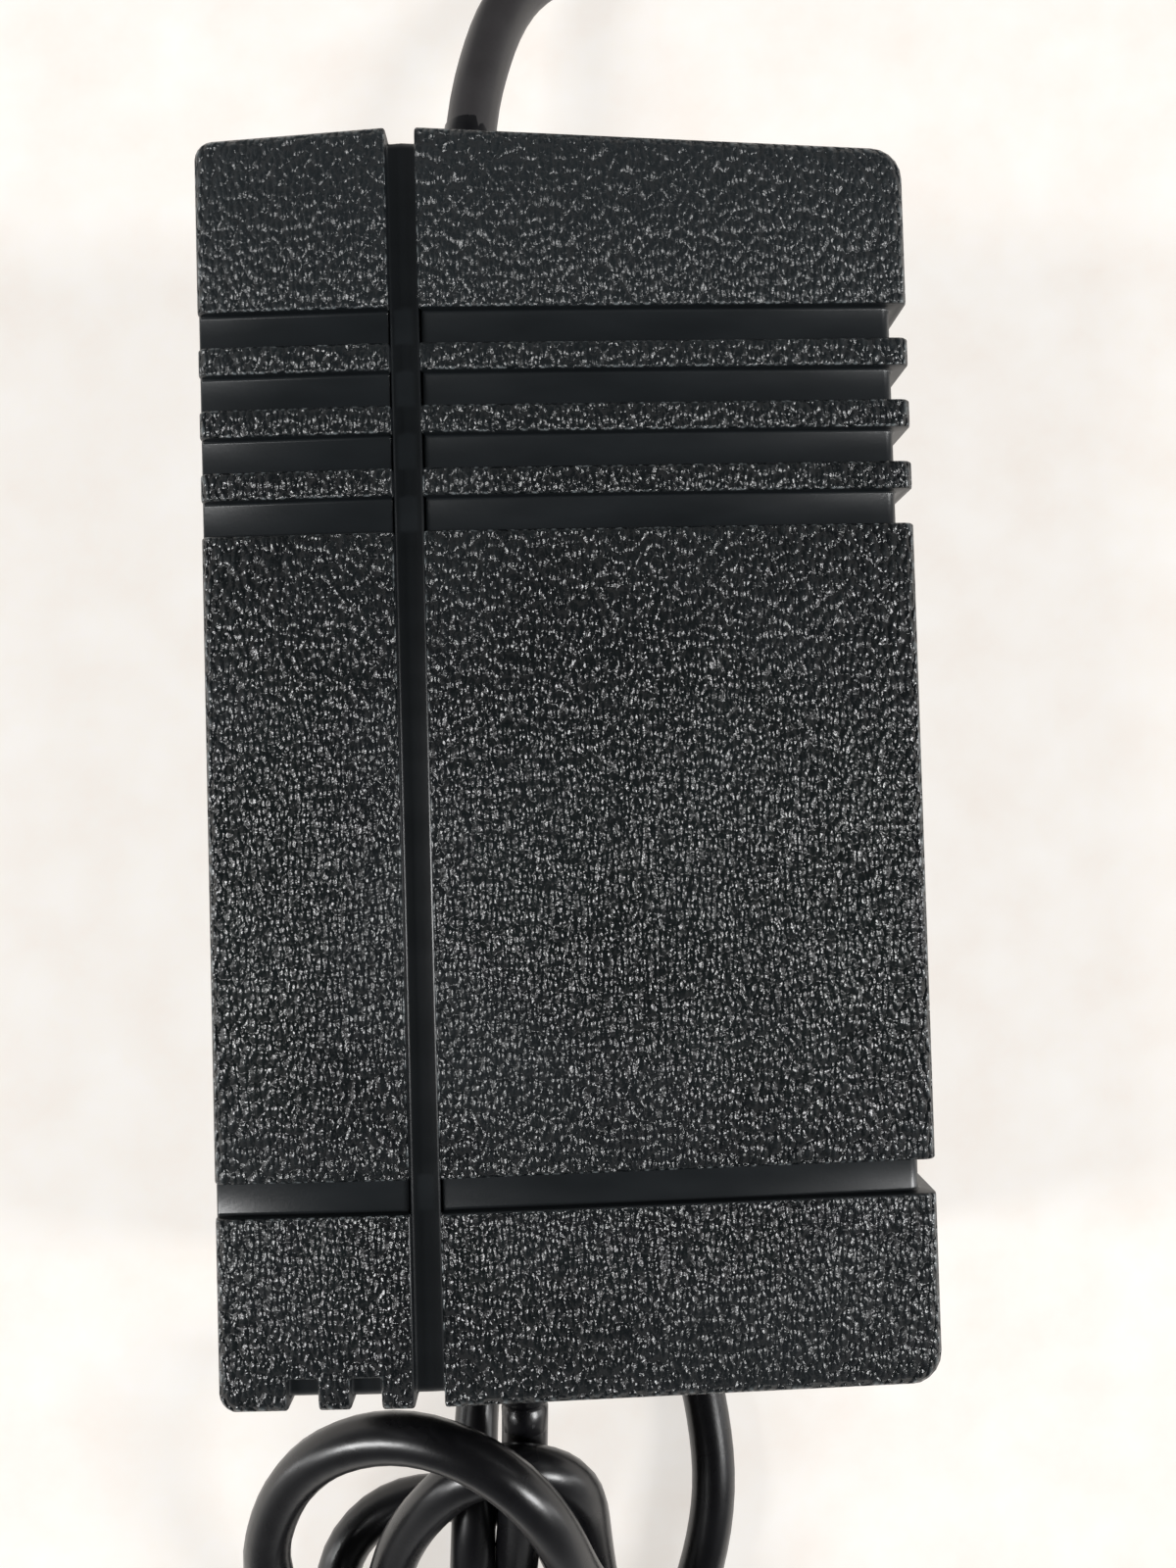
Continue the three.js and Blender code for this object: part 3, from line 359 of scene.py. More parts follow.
def limitBends(line, step, tightest):
    # opens only the bends that are tighter than the cord takes
    fixed = laying["fixed"]
    for _ in range(laying["bendRounds"]):
        bend = np.linalg.norm(line[:-4] - 2 * line[2:-2] + line[4:], axis=1) / (2 * step) ** 2
        excess = np.zeros(len(line))
        excess[2:-2] = np.clip(bend * tightest - laying["nearTightest"], 0, 1)
        excess[:fixed] = excess[-fixed:] = 0
        weight = np.convolve(excess, laying["spread"], "same")
        weight = np.clip(weight, 0, 1)[1:-1, None]
        line[1:-1] += weight * laying["opening"] * (line[:-2] - 2 * line[1:-1] + line[2:])
    return line


def settle(line, diameter, step, rounds):
    # strands that cross are pushed apart until they lie on each other and on the floor
    moved = np.zeros_like(line)
    free = np.ones((len(line), 1))
    free[: laying["fixed"]] = free[-laying["fixed"] :] = 0
    apart = math.ceil(laying["apart"] * diameter / step)
    watched = laying["watched"] * diameter
    for turn in range(rounds):
        now = line + moved
        if turn % laying["watchEvery"] == 0:
            square = (now**2).sum(1)
            gap = square[:, None] + square[None, :] - 2 * now @ now.T
            first, second = np.where(np.triu(gap < watched**2, apart))
        between = now[first] - now[second]
        distance = np.maximum(np.linalg.norm(between, axis=1), 1e-6)[:, None]
        push = np.maximum(diameter - distance, 0) / 2 * between / distance
        total = np.zeros_like(line)
        hits = np.full((len(line), 1), 1e-9)
        touching = (push != 0).any(1)[:, None].astype(float)
        np.add.at(total, first, push)
        np.add.at(total, second, -push)
        np.add.at(hits, first, touching)
        np.add.at(hits, second, touching)
        moved += laying["push"] * total / np.maximum(hits, 1) * free
        for _ in range(laying["smoothing"]):
            moved[1:-1] = (moved[:-2] + 2 * moved[1:-1] + moved[2:]) / 4
            moved *= free
        moved *= laying["lasting"]
        moved[:, 2] = np.maximum(moved[:, 2], diameter / 2 - line[:, 2])
    return line + moved


def addCord(name, line, diameter):
    curve = bpy.data.curves.new(name, "CURVE")
    curve.dimensions = "3D"
    curve.bevel_depth = diameter / 2 * mm
    curve.bevel_resolution = laying["roundness"]
    curve.use_fill_caps = True
    spline = curve.splines.new("POLY")
    spline.points.add(len(line) - 1)
    for point, place in zip(spline.points, line):
        point.co = (*(place * mm), 1)
    piece = bpy.data.objects.new(name, curve)
    bpy.context.collection.objects.link(piece)
    return piece


def lengthOf(line):
    return float(np.linalg.norm(np.diff(line, axis=0), axis=1).sum()) * mm


outputLine = soften(smoothLine(outputRoute(), outputCord["step"]), outputCord["soften"])
for rounds in outputCord["settle"]:
    outputLine = limitBends(outputLine, outputCord["step"], outputCord["tightest"])
    outputLine = settle(outputLine, outputCord["diameter"], outputCord["step"], rounds)
outputFlex = addCord("outputFlex", outputLine, outputCord["diameter"])
mainsLine = soften(smoothLine(mainsRoute(), mainsCord["step"]), mainsCord["soften"])
mainsLine = settle(mainsLine, mainsCord["diameter"], mainsCord["step"], mainsCord["settle"])
mainsFlex = addCord("mainsFlex", mainsLine, mainsCord["diameter"])
print("cords laid:", round(lengthOf(outputLine), 3), round(lengthOf(mainsLine), 3))


def selectOnly(piece):
    bpy.ops.object.select_all(action="DESELECT")
    piece.select_set(True)
    bpy.context.view_layer.objects.active = piece


def editAll(piece):
    selectOnly(piece)
    bpy.ops.object.mode_set(mode="EDIT")
    bpy.ops.mesh.select_all(action="SELECT")


def editNone(piece):
    selectOnly(piece)
    bpy.ops.object.mode_set(mode="EDIT")
    bpy.ops.mesh.select_all(action="DESELECT")
    bpy.ops.object.mode_set(mode="OBJECT")


def pickFaces(piece, wanted):
    # leaves the piece in edit mode with the wanted faces selected
    editNone(piece)
    bpy.context.tool_settings.mesh_select_mode = (False, False, True)
    for face in piece.data.polygons:
        face.select = wanted(face)
    bpy.ops.object.mode_set(mode="EDIT")


def settlePlace(piece):
    selectOnly(piece)
    bpy.ops.object.transform_apply(location=True, rotation=True, scale=True)


cleaning = {"merge": 0.001, "flat": 0.6}  # mm between points made one, degrees taken as flat


def copyNode(node, name):
    piece = bpy.data.objects.new(name, nodes[node].data.copy())
    bpy.context.collection.objects.link(piece)
    selectOnly(piece)
    bpy.ops.mesh.customdata_custom_splitnormals_clear()
    editAll(piece)
    bpy.ops.mesh.remove_doubles(threshold=cleaning["merge"] * mm)
    bpy.ops.mesh.dissolve_limited(angle_limit=math.radians(cleaning["flat"]))
    bpy.ops.object.mode_set(mode="OBJECT")
    return piece


def roundEdges(piece, width, segments=2, angle=30, clamp=False):
    selectOnly(piece)
    bevel = piece.modifiers.new("edges", "BEVEL")
    bevel.width = width * mm
    bevel.segments = segments
    bevel.limit_method = "ANGLE"
    bevel.angle_limit = math.radians(angle)
    bevel.use_clamp_overlap = clamp
    bpy.ops.object.modifier_apply(modifier=bevel.name)
    bpy.ops.object.shade_smooth_by_angle(angle=math.radians(angle))


def turnedPiece(name, rings, sides=48):
    # rings are (radius, height): a disc is drawn up and widened or narrowed ring by ring
    radius, height = rings[0]
    bpy.ops.object.select_all(action="DESELECT")
    bpy.ops.mesh.primitive_circle_add(
        vertices=sides, radius=radius * mm, fill_type="NGON", location=(0, 0, height * mm)
    )
    piece = bpy.context.object
    piece.name = name
    settlePlace(piece)
    pickFaces(piece, lambda face: True)
    for nextRadius, nextHeight in rings[1:]:
        bpy.ops.mesh.extrude_region_move(
            TRANSFORM_OT_translate={"value": (0, 0, (nextHeight - height) * mm)}
        )
        bpy.ops.transform.resize(
            value=(nextRadius / radius, nextRadius / radius, 1),
            center_override=(0, 0, nextHeight * mm),
        )
        radius, height = nextRadius, nextHeight
    bpy.ops.mesh.select_all(action="SELECT")
    bpy.ops.mesh.normals_make_consistent(inside=False)
    bpy.ops.object.mode_set(mode="OBJECT")
    return piece


def layAlong(piece, direction, place):
    # a piece turned on +Z is laid with its +Z along a direction
    piece.rotation_euler = Vector(direction).to_track_quat("Z", "Y").to_euler()
    piece.location = Vector(place) * mm
    settlePlace(piece)


def stand(piece, slot, *replaced):
    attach(piece, "root")
    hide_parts(*replaced)


def dress(piece, skin, slot, *replaced):
    piece.data.materials.clear()
    piece.data.materials.append(finishes[skin])
    stand(piece, slot, *replaced)


def linear(code):
    # sRGB hex to the linear values that a shader reads
    parts = [int(code[i : i + 2], 16) / 255 for i in (1, 3, 5)]
    return (*[v / 12.92 if v <= 0.04045 else ((v + 0.055) / 1.055) ** 2.4 for v in parts], 1)


def addNode(tree, kind, settings=None, links=None):
    node = tree.nodes.new("ShaderNode" + kind)
    for name, value in (settings or {}).items():
        if isinstance(name, str) and hasattr(node, name):
            setattr(node, name, value)
        else:
            node.inputs[name].default_value = value
    for name, source in (links or {}).items():
        tree.links.new(source, node.inputs[name])
    return node


def maths(tree, operation, *values):
    # each value is a number or another node's output
    settings, links = {"operation": operation}, {}
    for i, value in enumerate(values):
        (settings if isinstance(value, (int, float)) else links)[i] = value
    return addNode(tree, "Math", settings, links).outputs[0]


def ramp(tree, value, source, target, kind="LINEAR"):
    # carries a value over from one range to another
    settings = {
        "interpolation_type": kind,
        "From Min": source[0],
        "From Max": source[1],
        "To Min": target[0],
        "To Max": target[1],
    }
    return addNode(tree, "MapRange", settings, {"Value": value}).outputs[0]


def blend(tree, amount, first, second):
    # each colour is a hex code or another node's output
    settings, links = {"data_type": "RGBA"}, {0: amount}
    for i, colour in ((6, first), (7, second)):
        if isinstance(colour, str):
            settings[i] = linear(colour)
        else:
            links[i] = colour
    return addNode(tree, "Mix", settings, links).outputs[2]


def noise(tree, size, detail, place, output="Fac", roughness=0.5):
    # patches of about a size in millimetres
    settings = {"Scale": 1 / (size * mm), "Detail": detail, "Roughness": roughness}
    return addNode(tree, "TexNoise", settings, {"Vector": place}).outputs[output]


def startMaterial(name):
    made = bpy.data.materials.new(name)
    made.use_nodes = True
    made.node_tree.nodes.clear()
    place = addNode(made.node_tree, "TexCoord").outputs["Object"]
    return made, made.node_tree, place


def closeMaterial(tree, settings, links):
    shader = addNode(tree, "BsdfPrincipled", settings, links)
    addNode(tree, "OutputMaterial", {}, {"Surface": shader.outputs[0]})


casingAbs = {
    "tone": "#0B0F11",
    "hazeAndSheenTone": "#1F2427",
    "dust": "#8A8C88",
    "dustEvery": 7,  # mm
    "dustSpan": (0.03, 0.018),  # a speck's rim and its middle, as parts of that distance
    "edgeHighlightTone": "#6C7274",  # a painted highlight: lighter, greyer peaks of the grain along the rounded edges, where they catch the light
    "grain": 0.66,  # mm between the bumps of the leather grain
    "stretch": 0.58,  # they are longer along the casing than across
    "wander": (0.9, 0.3),  # patches in which the grain is bent, and how far, in mm
    "domes": (0.3, 2.4),  # how the bumps run together, and how steep their sides are
    "fine": 0.3,
    "fineShare": 0.12,
    "grainDepth": 0.58,
    "edgeSpan": (0.04, 0.4),  # how far round an edge the grain is worn down
    "rubbed": 0.7,  # part of the grain that is left on the rounded edges
    "peaks": ((0.15, 0.5), (2.6, 0)),  # from the top of a bump down: how strongly it gets the painted edge highlight
    "haze": 26,
    "hazePart": ((0.45, 0.75), (0, 0.45)),  # where it shows in the noise, and how much
    "endSheenAndRoughSpan": (20, 66),  # mm along the casing over which its skin turns rougher and gets a painted sheen, lighter towards the +Y end
    # how far the painted sheen lightens the tone at that end; it also scales the added roughness
    "endSheenAndRoughness": 0.75,
    "endRoughness": 0.1,
    "roughness": (0.18, 0.34),
    "ior": 1.54,
}
polishedAbs = {
    "dark": "#121517",
    "light": "#1B1F22",
    "flow": 4,  # mm
    "stretch": 0.35,  # it is longer across the casing
    "fine": 0.4,
    "depth": 0.008,
    "roughness": (0.26, 0.4),
}


def grainedAbs():
    # ABS from an etched, leather-like mould: dark, with short broken glints
    spec = casingAbs
    made, tree, place = startMaterial("grained ABS")
    patches, far = spec["wander"]
    merge, steep = spec["domes"]
    bend = addNode(
        tree,
        "VectorMath",
        {"operation": "MULTIPLY_ADD", 1: (far * mm,) * 3},
        {0: noise(tree, patches, 1, place, "Color"), 2: place},
    )
    long = addNode(tree, "Mapping", {"Scale": (1, spec["stretch"], 1)}, {0: bend.outputs[0]})
    cells = addNode(
        tree,
        "TexVoronoi",
        {"feature": "SMOOTH_F1", "Scale": 1 / (spec["grain"] * mm), "Smoothness": merge},
        {"Vector": long.outputs[0]},
    ).outputs["Distance"]
    domes = maths(tree, "POWER", cells, steep)
    fine = noise(tree, spec["fine"], 1, place)
    height = maths(tree, "MULTIPLY_ADD", fine, -spec["fineShare"], domes)
    haze = noise(tree, spec["haze"], 3, place)
    worn = ramp(tree, haze, *spec["hazePart"])
    along = addNode(tree, "SeparateXYZ", {}, {0: place}).outputs["Y"]
    span = [v * mm for v in spec["endSheenAndRoughSpan"]]
    # painted sheen: the tone is lighter towards the +Y end of the casing, which is also made
    # rougher there
    endSheenAndRoughness = ramp(tree, along, span, (0, spec["endSheenAndRoughness"]), "SMOOTHSTEP")
    normal = addNode(tree, "NewGeometry").outputs["Normal"]
    up = addNode(tree, "SeparateXYZ", {}, {0: normal}).outputs["Z"]
    # 0 on flat and upright faces, highest half way round a rounded edge
    edge = maths(tree, "PINGPONG", maths(tree, "MULTIPLY", up, up), 0.5)
    peaks = ramp(tree, cells, *spec["peaks"])
    # lighter in random haze patches, and in the painted sheen towards the +Y end
    tone = blend(tree, maths(tree, "MAXIMUM", worn, endSheenAndRoughness), spec["tone"], spec["hazeAndSheenTone"])
    # painted highlight: the grain's peaks are lighter half way round the rounded edges
    tone = blend(tree, maths(tree, "MULTIPLY", edge, peaks), tone, spec["edgeHighlightTone"])
    lint = addNode(tree, "TexVoronoi", {"Scale": 1 / (spec["dustEvery"] * mm)}, {"Vector": place})
    specks = ramp(tree, lint.outputs["Distance"], spec["dustSpan"], (0, 1))
    rough = ramp(tree, haze, (0, 1), spec["roughness"])
    rough = maths(tree, "MULTIPLY_ADD", endSheenAndRoughness, spec["endRoughness"], rough)
    kept = ramp(tree, edge, spec["edgeSpan"], (1, spec["rubbed"]))
    bump = addNode(
        tree,
        "Bump",
        {"invert": True, "Distance": spec["grainDepth"] * mm},
        {"Height": height, "Strength": kept},
    )
    closeMaterial(
        tree,
        {"IOR": spec["ior"]},
        {
            "Base Color": blend(tree, specks, tone, spec["dust"]),
            "Roughness": rough,
            "Normal": bump.outputs[0],
        },
    )
    return made


def satinAbs():
    # the same ABS where the mould was polished: even satin with faint flow marks
    spec = polishedAbs
    made, tree, place = startMaterial("satin ABS")
    along = addNode(tree, "Mapping", {"Scale": (spec["stretch"], 1, 1)}, {"Vector": place})
    flow = noise(tree, spec["flow"], 3, along.outputs[0])
    fine = noise(tree, spec["fine"], 2, place)
    bump = addNode(tree, "Bump", {"Distance": spec["depth"] * mm}, {"Height": fine})
    closeMaterial(
        tree,
        {"IOR": casingAbs["ior"]},
        {
            "Base Color": blend(tree, flow, spec["dark"], spec["light"]),
            "Roughness": ramp(tree, flow, (0, 1), spec["roughness"]),
            "Normal": bump.outputs[0],
        },
    )
    return made


wear = {
    "patches": 14,  # times the grain
    "fineShare": 0.4,
    "toneSpan": (0.45, 0.95),
    "roughness": (-0.06, 0.08),  # beside the one given
}


def surface(name, dark, light, grain, depth, roughness, shader=None, stretch=(1, 1, 1)):
    # two tones that wander, a grain in millimetres, and a roughness that follows the tones
    made, tree, place = startMaterial(name)
    turned = addNode(tree, "Mapping", {"Scale": stretch}, {"Vector": place}).outputs[0]
    wander = noise(tree, wear["patches"] * grain, 3, turned)
    fine = noise(tree, grain, 2, turned)
    amount = maths(tree, "MULTIPLY_ADD", fine, wear["fineShare"], wander)
    bump = addNode(tree, "Bump", {"Distance": depth * mm}, {"Height": fine})
    closeMaterial(
        tree,
        shader or {},
        {
            "Base Color": blend(tree, ramp(tree, amount, wear["toneSpan"], (0, 1)), dark, light),
            "Roughness": ramp(tree, wander, (0, 1), [roughness + v for v in wear["roughness"]]),
            "Normal": bump.outputs[0],
        },
    )
    return made


metal = {"Metallic": 1.0}
vinyl = {"IOR": 1.53}
finishes = {
    "casing": satinAbs(),
    # flexible PVC, extruded: satin with a soft long highlight and a light orange peel
    "cord": surface("extruded PVC", "#0B0B0D", "#141417", 0.5, 0.008, 0.27, vinyl),
    # the same PVC on the mains lead, given a lighter, flat dark grey
    "paleGreyCord": surface("pale grey PVC", "#302E2F", "#393738", 0.5, 0.008, 0.42, vinyl),
    # moulded soft rubber, dusted by handling: dull, no clear highlight
    "foot": surface("moulded rubber", "#151515", "#262524", 0.35, 0.03, 0.78, {"IOR": 1.52}),
    # zinc-plated steel: pale, slightly blue, cloudy passivation
    "steel": surface("zinc-plated steel", "#A3A8AB", "#C3C7C9", 0.3, 0.006, 0.3, metal),
    # bright nickel on brass: warm mirror with rubbed marks along its length
    "nickel": surface(
        "nickel-plated brass", "#B9B5AB", "#CBC8C0", 0.2, 0.004, 0.2, metal, (0.3, 1, 1)
    ),
    # rolled aluminium: fine lines one way
    "aluminium": surface(
        "rolled aluminium", "#9C9FA2", "#B4B7BA", 0.15, 0.006, 0.38, metal, (1, 0.1, 1)
    ),
    # metallised polyester label: grey, a little grained
    "label": surface(
        "metallised polyester", "#9EA1A3", "#B8BBBD", 0.25, 0.004, 0.36, {"Metallic": 0.35}
    ),
    # phenolic paper laminate: tan with paper fibres
    "board": surface(
        "phenolic laminate", "#8E7238", "#B4954F", 0.4, 0.01, 0.42, vinyl, (1, 0.25, 1)
    ),
    # pressed fibre board: cream, fuzzy
    "sheet": surface("pressed fibre", "#CDC29D", "#E2D9BC", 0.5, 0.03, 0.82, vinyl),
    # sintered ferrite: dark grey, ground faces with small pits
    "ferrite": surface("sintered ferrite", "#26272A", "#37393D", 0.4, 0.02, 0.5, {"IOR": 1.8}),
    # polyester tape over the windings: yellow, glossy, faintly ribbed by the wire below
    "tape": surface(
        "polyester tape", "#B98F1E", "#D6AE34", 0.6, 0.03, 0.28, vinyl, (1, 1, 0.15)
    ),
    # enamelled copper wire: reddish metal under clear varnish, in close turns
    "copper": surface(
        "enamelled copper", "#8A4A22", "#C27A45", 0.8, 0.15, 0.26, metal, (1, 1, 0.2)
    ),
    # shrink sleeve of an electrolytic can: dark blue, glossy
    "sleeve": surface("shrink sleeve", "#182540", "#22335A", 0.6, 0.006, 0.26, vinyl),
    # moulded epoxy: black, fine sand-like skin
    "epoxy": surface("moulded epoxy", "#151517", "#222225", 0.25, 0.012, 0.52, {"IOR": 1.55}),
    # boxed film capacitor: ochre plastic case
    "film": surface("boxed film capacitor", "#A27C15", "#C19A2C", 0.5, 0.01, 0.36, vinyl),
    # dipped coating: green, pebbled where it ran
    "disc": surface("dipped coating", "#22351F", "#37523A", 0.9, 0.08, 0.5, vinyl),
    # clear glass tube over its wire, seen mostly by its reflections
    "glass": surface("fuse glass", "#AEB6B6", "#D5DADA", 0.8, 0.004, 0.08, {"IOR": 1.5}),
    # woven nylon strap: black, ribbed across
    "tie": surface(
        "woven nylon strap", "#0E0E10", "#1E1E21", 0.45, 0.08, 0.62, {"IOR": 1.53}, (1, 0.5, 1)
    ),
    # vinyl insulation of hook-up wire, in the colours of a lead's cores
    "wire_brown": surface("brown wire vinyl", "#5C351C", "#74482A", 0.4, 0.005, 0.34, vinyl),
    "wire_blue": surface("blue wire vinyl", "#22509A", "#3468B0", 0.4, 0.005, 0.34, vinyl),
    "wire_red": surface("red wire vinyl", "#A01F18", "#BC3329", 0.4, 0.005, 0.34, vinyl),
    "wire_black": surface("black wire vinyl", "#141414", "#212121", 0.4, 0.005, 0.34, vinyl),
}
grain = grainedAbs()
for part in frame["record"]["subparts"]:
    for place in nodes[part["node"]].material_slots:
        place.material = finishes[part["material_slot"]]
print("finishes made")

grooves = {
    "ridge": (-18, -14.8),  # x
    "cross": [(45.2, 49), (38.35, 42.15), (31.5, 35.3), (24.65, 28.45), (-48.5, -44.9)],  # y
    "slots": [(-24.825, -21.475), (-31.575, -28.225)],  # x
    "slotsEnd": -65.6,  # y
    "skinFrom": 16,  # z; only the lip and the parting edge lie lower
    "slack": 0.03,
}
coverEdge = {"width": 0.32, "segments": 3}
caseEdge = {"width": 0.4, "segments": 2}


def within(value, span):
    return span[0] - grooves["slack"] < value < span[1] + grooves["slack"]


def isPolished(face):
    x, y, z = face.center / mm
    if z < grooves["skinFrom"]:
        return True
    if within(x, grooves["ridge"]) or any(within(y, span) for span in grooves["cross"]):
        return True
    inSlot = any(within(x, span) for span in grooves["slots"])
    return inSlot and y < grooves["slotsEnd"] + grooves["slack"]


def finishCasing():
    cover = copyNode("top_cover", "grainedCover")
    cover.data.materials.clear()
    cover.data.materials.append(grain)
    cover.data.materials.append(finishes["casing"])
    for face in cover.data.polygons:
        face.material_index = 1 if isPolished(face) else 0
    roundEdges(cover, **coverEdge)
    base = copyNode("bottom_case", "grainedBase")
    base.data.materials.clear()
    base.data.materials.append(grain)
    roundEdges(base, **caseEdge)
    stand(cover, "casing", "top_cover")
    stand(base, "casing", "bottom_case")


finishCasing()
print("casing finished")

# radius and height: a shallow dish below, a rounded rim, then the straight side
footRings = [
    (3.4, 0.3),
    (3.9, 0.02),
    (4.2, 0),
    (5.3, 0),
    (5.7, 0.15),
    (5.95, 0.5),
    (6, 1),
    (6, 3.75),
]
relief = {
    "ribs": 6,
    "crest": 0.62,  # part of each rib's pitch
    "groove": (0.7, 0.92),  # from and to, as parts of the pitch
    "grooveDepth": 0.45,
    "draft": 0.05,
    "tip": (0.03, 1.6, 0.1),  # draft, and the length and depth of the rounding at the end
    "sides": 40,
    "edge": 0.12,
    "ribbed": 19.3,  # length outside the wall, from the outer flange on
    "innerFlange": 1.9,
    "outerFlange": 1.4,
    "step": 0.1,  # slope between neck and flange
    "gap": 1,  # from the outer flange to the first rib
}
reliefs = {
    "mains": {"flange": 6.3, "neck": 5, "root": 5.2, "tip": 3.55, "out": (0, 1, 0)},
    "output": {"flange": 5.9, "neck": 4.6, "root": 4.8, "tip": 3.15, "out": (0, -1, 0)},
}


def finishFeet():
    foot = turnedPiece("rubberFoot1", footRings)
    selectOnly(foot)
    bpy.ops.object.shade_smooth_by_angle(angle=math.radians(35))
    feet = [foot]
    for n in range(2, 5):
        other = foot.copy()
        other.data = foot.data.copy()
        other.name = f"rubberFoot{n}"
        bpy.context.collection.objects.link(other)
        feet.append(other)
    for n, piece in enumerate(feet, 1):
        low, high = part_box(f"rubber_foot_{n}")
        piece.location = ((low.x + high.x) / 2, (low.y + high.y) / 2, 0)
        settlePlace(piece)
        dress(piece, "foot", "foot", f"rubber_foot_{n}")


def ribbedTaper(root, tip, start, end):
    # narrowing rings with a groove between each, as moulded round a cord
    rings = []
    pitch = (end - start) / relief["ribs"]
    near, far = relief["groove"]
    draft, rounding, depth = relief["tip"]
    for i in range(relief["ribs"]):
        at = start + i * pitch
        radius = root + (tip - root) * i / (relief["ribs"] - 1)
        if i == relief["ribs"] - 1:
            rings += [(radius, at), (radius - draft, end - rounding), (radius - depth, end)]
            break
        low = radius - relief["grooveDepth"]
        rings += [(radius, at), (radius - relief["draft"], at + relief["crest"] * pitch)]
        rings += [(low, at + near * pitch), (low, at + far * pitch)]
    return rings


def finishReliefs():
    for name, spec in reliefs.items():
        low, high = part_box(f"{name}_strain_relief")
        length = (high.y - low.y) / mm
        wallOut = length - relief["ribbed"]  # where the outer flange starts
        collarEnd = wallOut + relief["outerFlange"]
        rings = [
            (spec["flange"], 0),
            (spec["flange"], relief["innerFlange"]),
            (spec["neck"], relief["innerFlange"] + relief["step"]),
            (spec["neck"], wallOut),
            (spec["flange"], wallOut + relief["step"]),
            (spec["flange"], collarEnd),
            *ribbedTaper(spec["root"], spec["tip"], collarEnd + relief["gap"], length),
        ]
        piece = turnedPiece(name + "Relief", rings, relief["sides"])
        start = low.y if spec["out"][1] > 0 else high.y
        middle = (low + high) / 2 / mm
        layAlong(piece, spec["out"], (middle.x, start / mm, middle.z))
        roundEdges(piece, relief["edge"], 2, clamp=True)
        dress(piece, "cord", "cord", f"{name}_strain_relief")


finishFeet()
finishReliefs()
print("feet and strain reliefs finished")

wallPlug = {
    "place": (23.2, 197.3, 35.6),  # end of the cord
    "turn": -14.3,  # degrees
    "width": 24,
    "thickness": 20,
    "length": 33,
    "neck": 18,
    "corner": 5,
    "shoulder": [(-15.5, 0.9), (-13, 0.7), (-11.5, 0.56)],  # place along it, width as a part
    "thumb": (4, 0.8, 0.7),  # margin, slope and depth of the hollow on each side
    "edge": 0.9,
    "taper": (6.2, 4.2, -13, 0),  # radius at the plug and at the cord, from and to
    "metal": [("blade_1", 0.45), ("blade_2", 0.45), ("earth_pin", 0.9)],  # node and edge radius
}
jackPlug = {
    "place": (22, -137.4, 7.6),
    "relief": (4.9, 3.7),  # radius at the grip and at the cord
    "collar": 5.2,
    "grip": 7.2,
    "gripFrom": 11,
    "gripTo": 26,
    "shoulder": (1.2, 0.8, 2.4),  # how far in it starts, then where it starts and ends
    "ribs": 5,
    "ribsFrom": 3.4,
    "ribPitch": 2.2,
    "ribDepth": 0.4,
    "groove": (0.25, 0.7, 0.95),  # sloping down, along, and up again
    "end": 0.8,
    "metalEdge": 0.2,
}


def finishWallPlug():
    length, width, thickness = wallPlug["length"], wallPlug["width"], wallPlug["thickness"]
    back = -wallPlug["neck"]
    bpy.ops.object.select_all(action="DESELECT")
    bpy.ops.mesh.primitive_cube_add(
        size=1,
        location=((back - length / 2) * mm, 0, 0),
        scale=(length * mm, width * mm, thickness * mm),
    )
    body = bpy.context.object
    body.name = "mouldedPlug"
    settlePlace(body)
    editNone(body)
    for edge in body.data.edges:
        a, b = [body.data.vertices[v].co for v in edge.vertices]
        edge.select = abs(a.x - b.x) > 0.5 * length * mm
    bpy.context.tool_settings.mesh_select_mode = (False, True, False)
    bpy.ops.object.mode_set(mode="EDIT")
    bpy.ops.mesh.bevel(offset=wallPlug["corner"] * mm, segments=5, affect="EDGES")
    bpy.ops.object.mode_set(mode="OBJECT")
    pickFaces(body, lambda face: face.normal.x > 0.9)
    at, size = back, 1
    for nextAt, nextSize in wallPlug["shoulder"]:
        bpy.ops.mesh.extrude_region_move(
            TRANSFORM_OT_translate={"value": ((nextAt - at) * mm, 0, 0)}
        )
        bpy.ops.transform.resize(
            value=(1, nextSize / size, nextSize / size), center_override=(nextAt * mm, 0, 0)
        )
        at, size = nextAt, nextSize
    bpy.ops.object.mode_set(mode="OBJECT")
    margin, slope, depth = wallPlug["thumb"]
    for side in (-1, 1):
        pickFaces(body, lambda face: face.normal.z * side > 0.99 and face.center.x < back * mm)
        bpy.ops.mesh.inset(thickness=margin * mm, depth=0)
        bpy.ops.mesh.inset(thickness=slope * mm, depth=-depth * mm)
        bpy.ops.object.mode_set(mode="OBJECT")
    roundEdges(body, wallPlug["edge"], 3, angle=25, clamp=True)
    taper = turnedPiece("plugRelief", ribbedTaper(*wallPlug["taper"]), relief["sides"])
    layAlong(taper, (1, 0, 0), (0, 0, 0))
    roundEdges(taper, relief["edge"], 2, clamp=True)
    selectOnly(body)
    taper.select_set(True)
    bpy.ops.object.join()
    body.rotation_euler = (0, 0, math.radians(wallPlug["turn"]))
    body.location = Vector(wallPlug["place"]) * mm
    settlePlace(body)
    dress(body, "cord", "cord", "mains_plug_body")
    pieces = [body]
    for node, edge in wallPlug["metal"]:
        name = "plug" + node.replace("_", "").capitalize()
        metalPiece = copyNode("mains_plug_" + node, name)
        roundEdges(metalPiece, edge, 3, clamp=True)
        dress(metalPiece, "nickel", "nickel", "mains_plug_" + node)
        pieces.append(metalPiece)
    return pieces


